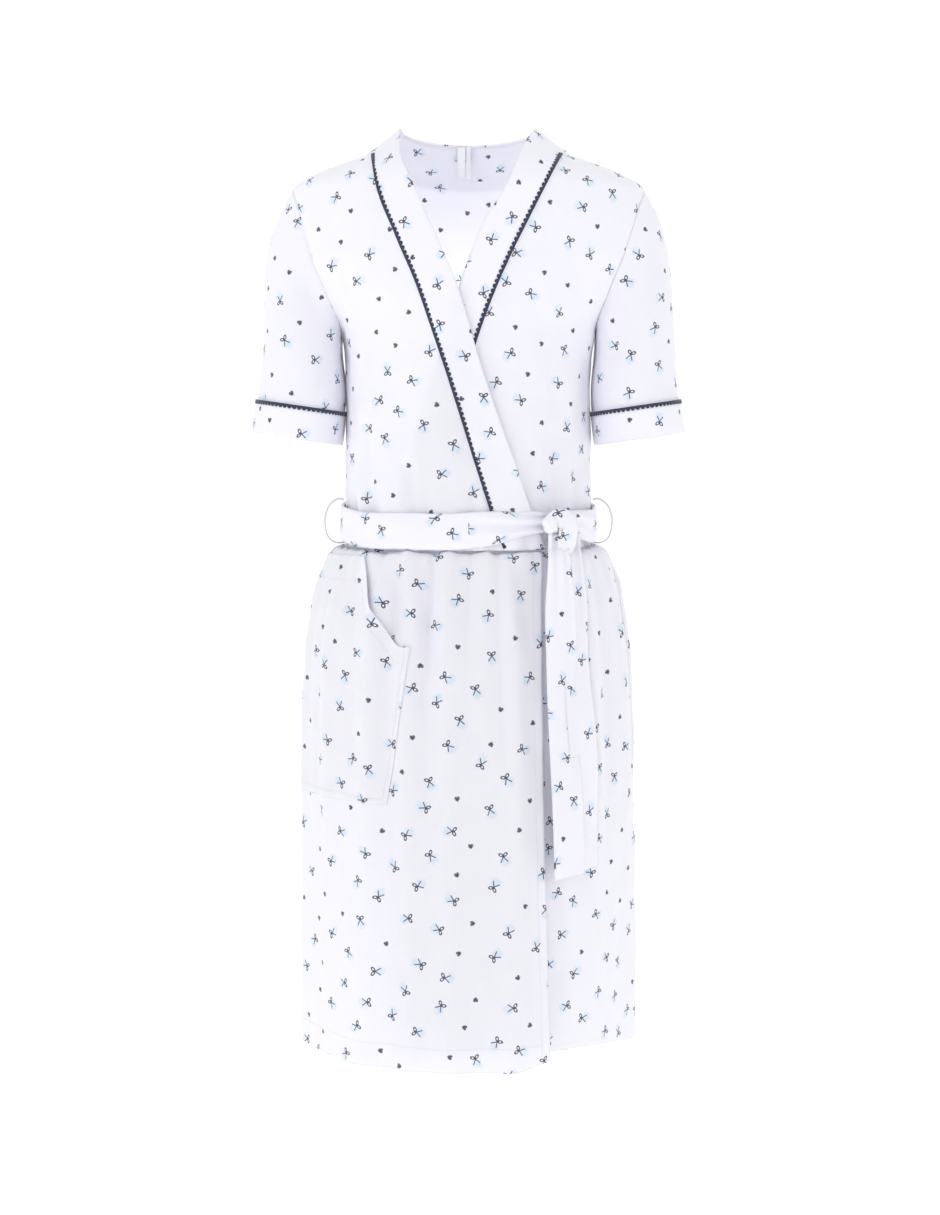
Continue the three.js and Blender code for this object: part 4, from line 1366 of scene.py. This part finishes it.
# ------------------------------------------------------------------ belt
@dataclass
class Belt:
    """Soft sash tied in front of the left hip, with its knot, a folded end and two hanging tails."""

    form: BodyForm
    wardrobe: Wardrobe
    width: float = 0.037
    above_seam: float = 0.0065
    tilt: float = 0.048
    clearance: tuple[float, float] = (0.0035, 0.0085)
    thickness: float = 0.0030
    knot_angle: float = math.radians(33.7)
    knot_narrowing: float = 0.46
    knot_rise: float = 0.75
    front_length: float = 0.332
    back_length: float = 0.329
    tail_thickness: float = 0.0020
    fold_thickness: float = 0.0026
    crease_height: float = 0.0032
    knot_power: float = 2.5
    knot_creases: tuple[float, float] = (0.075, 0.045)
    knot_shares: tuple[float, float, float] = (0.94, 0.62, 0.80)

    def __post_init__(self) -> None:
        """Finds the belt's height, the knot and the fold in the frame."""
        self.height = self.form.z_waist + self.above_seam + self.width / 2
        low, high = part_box("belt_knot")
        self.knot_centre = (low + high) / 2
        self.knot_half = (high - low) / 2
        low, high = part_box("belt_fold")
        self.fold_centre = (low + high) / 2
        self.fold_half = (high - low) / 2

    def ring_points(self, turn: Array, share: Array, out: Array) -> Array:
        """Points of the belt round the waist; share runs from its lower edge to its upper one."""
        form = self.form
        level = np.full_like(turn, self.height)
        base = form.body(turn, level)
        step = 0.01
        ahead = form.body(turn + step, level) - form.body(turn - step, level)
        normal = np.stack([ahead[..., 1], -ahead[..., 0], np.zeros_like(turn)], axis=-1)
        normal = unit(normal)
        clear = mix(*self.clearance, smoothstep(np.cos(turn), 0.0, 0.5))
        points = base + normal * (clear + self.thickness + out)[..., None]
        middle = self.height + self.tilt * (points[..., 1] - form.axis_y)
        away = (turn - self.knot_angle + math.pi) % (2 * math.pi) - math.pi
        slim = 1 - self.knot_narrowing * np.exp(-((away / np.where(away < 0, 0.30, 0.42)) ** 2))
        sway = 0.0016 * np.sin(3 * turn + 0.6) + 0.0007 * np.sin(9 * turn)
        raised = self.knot_rise * self.width * (1 - slim) / 2
        points[..., 2] = middle + sway + raised + self.width * slim * (share - 0.5)
        return points

    def ring(self) -> None:
        """Makes the band round the waist, gathered into creases towards the knot."""
        turn, share = np.meshgrid(np.linspace(0, 2 * math.pi, 321), np.linspace(0, 1, 23))
        away = (turn - self.knot_angle + math.pi) % (2 * math.pi) - math.pi
        gather = np.exp(-((away / 0.42) ** 2))
        crease = np.sin(2 * math.pi * (2.1 * share + 1.3 * away) + 0.5)
        soft = 0.0007 * np.sin(2 * math.pi * (0.9 * share) + 4 * turn) * (1 - gather)
        rounded = -0.0022 * (2 * share - 1) ** 6
        points = self.ring_points(turn, share, rounded + soft + self.crease_height * gather * crease)
        piece = cloth_piece("belt_cloth", points, strip_uv(points, (4.7, 0.2)), tube=True)
        thicken(piece, self.thickness)
        dress(piece, self.wardrobe.jersey, "printed_jersey", "belt_band")
        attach(piece, "belt")

    def knot(self) -> None:
        """Makes the knot: a plump wrap of the sash, with creases across it."""
        power, (broad, fine) = self.knot_power, self.knot_creases
        lump = bmesh.new()
        layer = lump.loops.layers.uv.new("cloth")
        bmesh.ops.create_uvsphere(lump, u_segments=72, v_segments=48, radius=1.0)
        for vert in lump.verts:
            x, y, z = vert.co
            boxed = (abs(x) ** power + abs(y) ** power + abs(z) ** power) ** (-1 / power)
            crease = broad * math.sin(7.0 * x + 4.0 * z) + fine * math.sin(13.0 * x - 6.0 * z + 1.0)
            waist = 1 - 0.10 * math.exp(-((z - 0.5 * x) / 0.25) ** 2)
            vert.co = Vector((x, y, z)) * (boxed * waist + crease * (1 - abs(y) * 0.3))
        turn = Matrix.Rotation(self.knot_angle, 4, "Z")
        half = min(self.knot_half.x, self.knot_half.y)
        wide, deep, high = self.knot_shares
        size = Matrix.Diagonal((half * wide, half * deep, self.knot_half.z * high, 1))
        place = Matrix.Translation(self.knot_centre)
        bmesh.ops.transform(lump, matrix=place @ turn @ size, verts=lump.verts)
        for face in lump.faces:
            for loop in face.loops:
                loop[layer].uv = (loop.vert.co.x + 5.2, loop.vert.co.z + 0.9)
        piece = new_object("belt_knot_cloth", to_mesh("belt_knot_cloth", lump))
        dress(piece, self.wardrobe.jersey, "printed_jersey", "belt_knot")
        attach(piece, "belt")

    def _ribbon(self, path: Array, widths: Array, out: Vector, cup: float) -> Array:
        """Points of a soft ribbon along a path.

        Args:
            path: points down its middle.
            widths: its width at each point.
            out: the direction that its face looks.
            cup: how far its middle stands out, as a share of its width.

        Returns:
            Rows of points, the far end first.
        """
        ahead = np.gradient(path, axis=0)
        ahead = unit(ahead)
        across = np.cross(ahead, np.array(out))
        across = -unit(across)
        share = np.linspace(-0.5, 0.5, 21)[None, :, None]
        crown = (1 - (2 * share) ** 2) * cup * widths[:, None, None]
        points = path[:, None] + across[:, None] * share * widths[:, None, None] + np.array(out) * crown
        return points[::-1]

    def fold(self) -> None:
        """Makes the folded end that comes out of the knot, turns over and points down."""
        turn = self.knot_angle + 0.12
        right = Vector((math.cos(turn), math.sin(turn), 0))
        out = Vector((math.sin(turn), -math.cos(turn), 0))
        up = Vector((0, 0, 1))
        stops = [(-0.002, 0.004, 0.006), (0.006, 0.007, 0.010), (0.014, 0.004, 0.013),
                 (0.019, -0.006, 0.013), (0.019, -0.018, 0.011), (0.017, -0.030, 0.008)]
        start = self.knot_centre - out * 0.006
        knots = np.array([start + right * a + up * b + out * c for a, b, c in stops])
        fine = np.linspace(0, len(stops) - 1, 40)
        path = smooth_path(knots, fine)
        widths = SmoothCurve([(0, 0.012), (1.2, 0.019), (2.6, 0.025), (4, 0.025), (5, 0.018)])(fine)
        points = self._ribbon(path, widths, out, 0.10)
        piece = cloth_piece("belt_fold_cloth", points, strip_uv(points, (5.5, 1.4)))
        thicken(piece, self.fold_thickness)
        dress(piece, self.wardrobe.jersey, "printed_jersey", "belt_fold")
        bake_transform(piece)

    def tail(self, name: str, node: str, length: float, ends: tuple[float, float],
             reach: tuple[float, float], turns: tuple[float, float], wave: float) -> None:
        """Hangs one tail of the belt from under the fold.

        Args:
            name: the piece's name.
            node: the solid that it stands for.
            length: its hanging length.
            ends: how far left of the knot its top and its end are.
            reach: how far out from the skirt its end and its top are.
            turns: which way its top and its end face, in degrees.
            wave: phase of its soft waves.
        """
        form = self.form
        tuck = 0.016
        share = np.linspace(1, 0, 110)[:, None]
        across_share = np.linspace(-0.5, 0.5, 19)[None, :]
        z_top = form.z_waist + 0.001
        drop = (length + tuck) * share - tuck
        below = np.maximum(drop, 0.0)
        z_skirt = np.minimum(z_top - drop, form.z_waist)
        x = self.knot_centre.x + mix(ends[0], ends[1], below / length)
        depth = form.skirt_depth(z_skirt, float(form.front(form.z_waist)), form.flare_front)
        angle = front_angle(x, form.skirt_width(z_skirt))
        y = form.axis_y - depth * np.cos(angle) - mix(reach[0], reach[1], np.exp(-below / 0.045))
        turn = np.radians(mix(turns[1], turns[0], np.exp(-below / 0.080)))
        slim = mix(0.62, 1.0, smoothstep(drop, -0.01, 0.075))
        gathered = (1 - smoothstep(drop, 0.0, 0.11)) * 0.0022 * np.sin(across_share * 13 + wave)
        sway = 0.0022 * np.sin(9 * below / length + wave) * smoothstep(drop, 0.02, 0.15)
        curl = sway * (1 + 1.4 * across_share) + gathered
        across = np.stack([np.cos(turn), np.sin(turn), 0 * turn], axis=-1)
        outward = np.stack([np.sin(turn), -np.cos(turn), 0 * turn], axis=-1)
        centre = np.stack(np.broadcast_arrays(x, y, z_top - drop), axis=-1)
        edge = across * (self.width * slim * across_share)[..., None]
        points = centre + edge + outward * curl[..., None]
        points[..., 2] += 0.003 * across_share * share
        piece = cloth_piece(name, points, strip_uv(points, (5.9 + wave / 9, 0.3)))
        thicken(piece, self.tail_thickness)
        dress(piece, self.wardrobe.jersey, "printed_jersey", node)
        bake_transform(piece)

    def build(self) -> None:
        """Makes every piece of the belt."""
        self.ring()
        self.knot()
        self.fold()
        self.tail("belt_tail_front_cloth", "belt_tail_front", self.front_length,
                  (0.008, 0.020), (0.009, 0.026), (25, 37), 0.4)
        self.tail("belt_tail_back_cloth", "belt_tail_back", self.back_length,
                  (0.022, 0.040), (0.0035, 0.013), (35, 43), 2.1)


# ------------------------------------------------------------------ small parts
@dataclass
class SmallParts:
    """Thread loops that hold the belt, the sewn-in label and the hanger loop."""

    form: BodyForm
    wardrobe: Wardrobe
    thread_radius: float = 0.0010
    strands: int = 3
    twists: float = 15.0
    strand_share: float = 0.52
    tape_wall: float = 0.0005
    tape_thickness: float = 0.0008
    satin_thickness: float = 0.0005

    def carrier(self, side: Side) -> None:
        """Twists a thread loop at a side seam."""
        node = f"belt_carrier_{side.word}"
        low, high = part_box(node)
        inner = min(abs(low.x), abs(high.x)) + self.thread_radius
        outer = max(abs(low.x), abs(high.x)) - self.thread_radius
        bow = [(0, 0.02), (0.25, 0), (0.58, 0.07), (0.88, 0.25), (1, 0.5), (0.93, 0.76), (0.66, 0.95),
               (0.3, 1), (0, 0.99)]
        top, bottom = high.z - self.thread_radius, low.z + self.thread_radius
        stops = np.array([(side.value * mix(inner, outer, a), self.form.axis_y, mix(top, bottom, b))
                          for a, b in bow])
        path = smooth_path(stops, np.linspace(0, len(bow) - 1, 90))
        self._twist(f"{node}_thread", path, node, f"carrier_{side.word}")

    def _twist(self, name: str, path: Array, node: str, body: str) -> None:
        """Winds strands of thread round a path."""
        ahead = np.gradient(path, axis=0)
        ahead = unit(ahead)
        beside = np.broadcast_to(np.array([0.0, 1.0, 0.0]), path.shape)
        away = np.cross(ahead, beside)
        away = unit(away)
        strand = self.thread_radius * self.strand_share
        wind = np.linspace(0, self.twists * 2 * math.pi, len(path))[:, None]
        ring = np.linspace(0, 2 * math.pi, 9)[None, :]
        joined = bmesh.new()
        for index in range(self.strands):
            phase = wind + 2 * math.pi * index / self.strands
            centre = path + (away * np.cos(phase) + beside * np.sin(phase)) * strand
            points = centre[:, None] + strand * (
                away[:, None] * np.cos(ring)[..., None] + beside[:, None] * np.sin(ring)[..., None])
            part = cloth_piece("strand", points, strip_uv(points, (0, 0)), tube=True)
            joined.from_mesh(part.data)
            bpy.data.objects.remove(part)
        bmesh.ops.holes_fill(joined, edges=joined.edges, sides=8)
        bmesh.ops.recalc_face_normals(joined, faces=joined.faces)
        piece = new_object(name, to_mesh(name, joined))
        dress(piece, self.wardrobe.thread, "carrier_thread", node)
        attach(piece, body)

    def label(self) -> None:
        """Folds the satin label, whose lower end curls a little."""
        low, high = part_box("neck_label")
        v = np.linspace(0, 1, 40)[:, None]
        u = np.linspace(0, 1, 9)[None, :]
        curl = -0.0016 * (1 - v) ** 2 + 0.0004 * np.sin(5 * v)
        x = mix(low.x, high.x, u) + 0 * v
        y = (low.y + high.y) / 2 + curl + 0.0003 * np.sin(math.pi * u)
        points = np.stack(np.broadcast_arrays(x, y, mix(low.z, high.z, v)), axis=-1)
        piece = cloth_piece("neck_label_satin", points, strip_uv(points, (0, 0)))
        thicken(piece, self.satin_thickness, offset=0.0)
        dress(piece, self.wardrobe.satin, "label_satin", "neck_label")
        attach(piece, "label")

    def loop(self) -> None:
        """Folds the hanger loop from narrow tape."""
        low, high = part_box("hanger_loop")
        half_x, half_y = (high.x - low.x) / 2, (high.y - low.y) / 2
        centre = (low + high) / 2
        way = np.linspace(0, 1, 90)
        down = SmoothCurve([(0, 0), (0.44, 0.90), (0.5, 1), (0.56, 0.90), (1, 0)])(way)
        open_out = SmoothCurve([(0, -0.15), (0.25, -0.55), (0.44, -0.95), (0.5, 0), (0.56, 0.95),
                                (0.75, 0.55), (1, 0.15)])(way)
        z = mix(high.z, low.z, down)
        if half_x > half_y:
            line = np.stack([centre.x + open_out * (half_x - self.tape_wall), 0 * z + centre.y, z], axis=-1)
            across = np.array([0.0, 1.0, 0.0]) * half_y
        else:
            line = np.stack([0 * z + centre.x, centre.y + open_out * (half_y - self.tape_wall), z], axis=-1)
            across = np.array([1.0, 0.0, 0.0]) * half_x
        share = np.linspace(-1, 1, 7)[:, None, None]
        points = line[None] + across * share
        piece = cloth_piece("hanger_loop_tape", points, strip_uv(points, (0, 0)))
        thicken(piece, self.tape_thickness, offset=0.0)
        dress(piece, self.wardrobe.tape, "loop_tape", "hanger_loop")
        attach(piece, "loop")

    def build(self) -> None:
        """Makes the small parts."""
        self.carrier(Side.RIGHT)
        self.carrier(Side.LEFT)
        self.label()
        self.loop()


# ------------------------------------------------------------------ studio
@dataclass
class Studio:
    """White room: pale floor, soft light and the camera."""

    camera_place: tuple[float, float, float] = (0.0016, -2.257, -0.305)
    camera_pitch: float = math.radians(4.889)
    lens: float = 61.27
    floor_drop: float = 0.80
    room_light: float = 0.89
    backdrop_light: float = 1.05
    floor_glow: float = 0.30
    inner_size: float = 0.12
    inner_power: float = 0.19
    inner_height: float = -0.20
    inner_gap: float = 0.055
    inner_tilt: float = 0.45

    def camera(self) -> None:
        """Sets up the camera a little above the waist, looking slightly down."""
        data = bpy.data.cameras.new("camera")
        data.lens = self.lens
        data.sensor_width = 36.0
        camera = bpy.data.objects.new("camera", data)
        camera.location = self.camera_place
        camera.rotation_euler = (QUARTER - self.camera_pitch, 0.0, 0.0)
        bpy.context.scene.collection.objects.link(camera)
        bpy.context.scene.camera = camera

    def floor(self) -> None:
        """Lays the floor well below the hem."""
        plane = bmesh.new()
        bmesh.ops.create_grid(plane, x_segments=2, y_segments=2, size=30.0)
        mesh = to_mesh("floor", plane)
        mesh.transform(Matrix.Translation((0, 0, CAD_BOX[0].z - self.floor_drop)))
        floor = new_object("floor", mesh)
        finish = Finish("pale_floor")
        finish.shader.inputs["Base Color"].default_value = (0.97, 0.97, 0.975, 1)
        finish.shader.inputs["Roughness"].default_value = 0.9
        finish.shader.inputs["Emission Color"].default_value = (1, 1, 1, 1)
        finish.shader.inputs["Emission Strength"].default_value = self.floor_glow
        floor.data.materials.append(finish.material)

    def room(self) -> None:
        """Fills the room with even white light, behind a plain white backdrop."""
        world = bpy.data.worlds.new("room")
        world.use_nodes = True
        bpy.context.scene.world = world
        tree = world.node_tree
        output = next(n for n in tree.nodes if n.type == "OUTPUT_WORLD")
        light = next(n for n in tree.nodes if n.type == "BACKGROUND")
        light.inputs["Color"].default_value = (1.0, 1.0, 1.0, 1)
        light.inputs["Strength"].default_value = self.room_light
        backdrop = tree.nodes.new("ShaderNodeBackground")
        backdrop.inputs["Color"].default_value = (1, 1, 1, 1)
        backdrop.inputs["Strength"].default_value = self.backdrop_light
        seen = tree.nodes.new("ShaderNodeLightPath")
        pick = tree.nodes.new("ShaderNodeMixShader")
        tree.links.new(seen.outputs["Is Camera Ray"], pick.inputs[0])
        tree.links.new(light.outputs[0], pick.inputs[1])
        tree.links.new(backdrop.outputs[0], pick.inputs[2])
        tree.links.new(pick.outputs[0], output.inputs["Surface"])

    def lamp(self, name: str, place: tuple[float, float, float], size: float, power: float) -> None:
        """Hangs one soft square light that faces the gown."""
        data = bpy.data.lights.new(name, "AREA")
        data.size = size
        data.energy = power
        lamp = bpy.data.objects.new(name, data)
        lamp.location = place
        middle = (CAD_BOX[0] + CAD_BOX[1]) / 2
        lamp.rotation_euler = (middle - Vector(place)).to_track_quat("-Z", "Y").to_euler()
        bpy.context.scene.collection.objects.link(lamp)

    def inner_lamp(self) -> None:
        """Hangs a small soft light inside the bodice, which shines on the inside of the back."""
        low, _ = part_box("bodice_back")
        data = bpy.data.lights.new("inner_light", "AREA")
        data.size = self.inner_size
        data.energy = self.inner_power
        lamp = bpy.data.objects.new("inner_light", data)
        lamp.location = (0.0, low.y - self.inner_gap, self.inner_height)
        lamp.rotation_euler = (QUARTER + self.inner_tilt, 0.0, 0.0)
        lamp.visible_camera = False
        bpy.context.scene.collection.objects.link(lamp)

    def build(self) -> None:
        """Sets the studio."""
        self.camera()
        self.floor()
        self.room()
        self.lamp("key_light", (-1.9, -2.0, 0.9), size=1.2, power=7.2)
        self.lamp("side_light", (2.4, -0.6, 0.3), size=1.0, power=1.0)
        self.lamp("back_light", (0.8, 2.4, 0.8), size=1.6, power=6.0)
        self.inner_lamp()
        bpy.context.scene.view_settings.view_transform = "Standard"


def main() -> None:
    """Builds the gown and its studio."""
    logging.basicConfig(level=logging.INFO, format="%(message)s")
    Studio().build()
    form = BodyForm()
    folds = Folds(form)
    wardrobe = Wardrobe()
    Bodice(form, folds, wardrobe).build()
    for side in Side:
        Sleeve(form, folds, wardrobe, side).build()
    Skirt(form, folds, wardrobe).build()
    Belt(form, wardrobe).build()
    SmallParts(form, wardrobe).build()


if __name__ == "__main__":
    main()
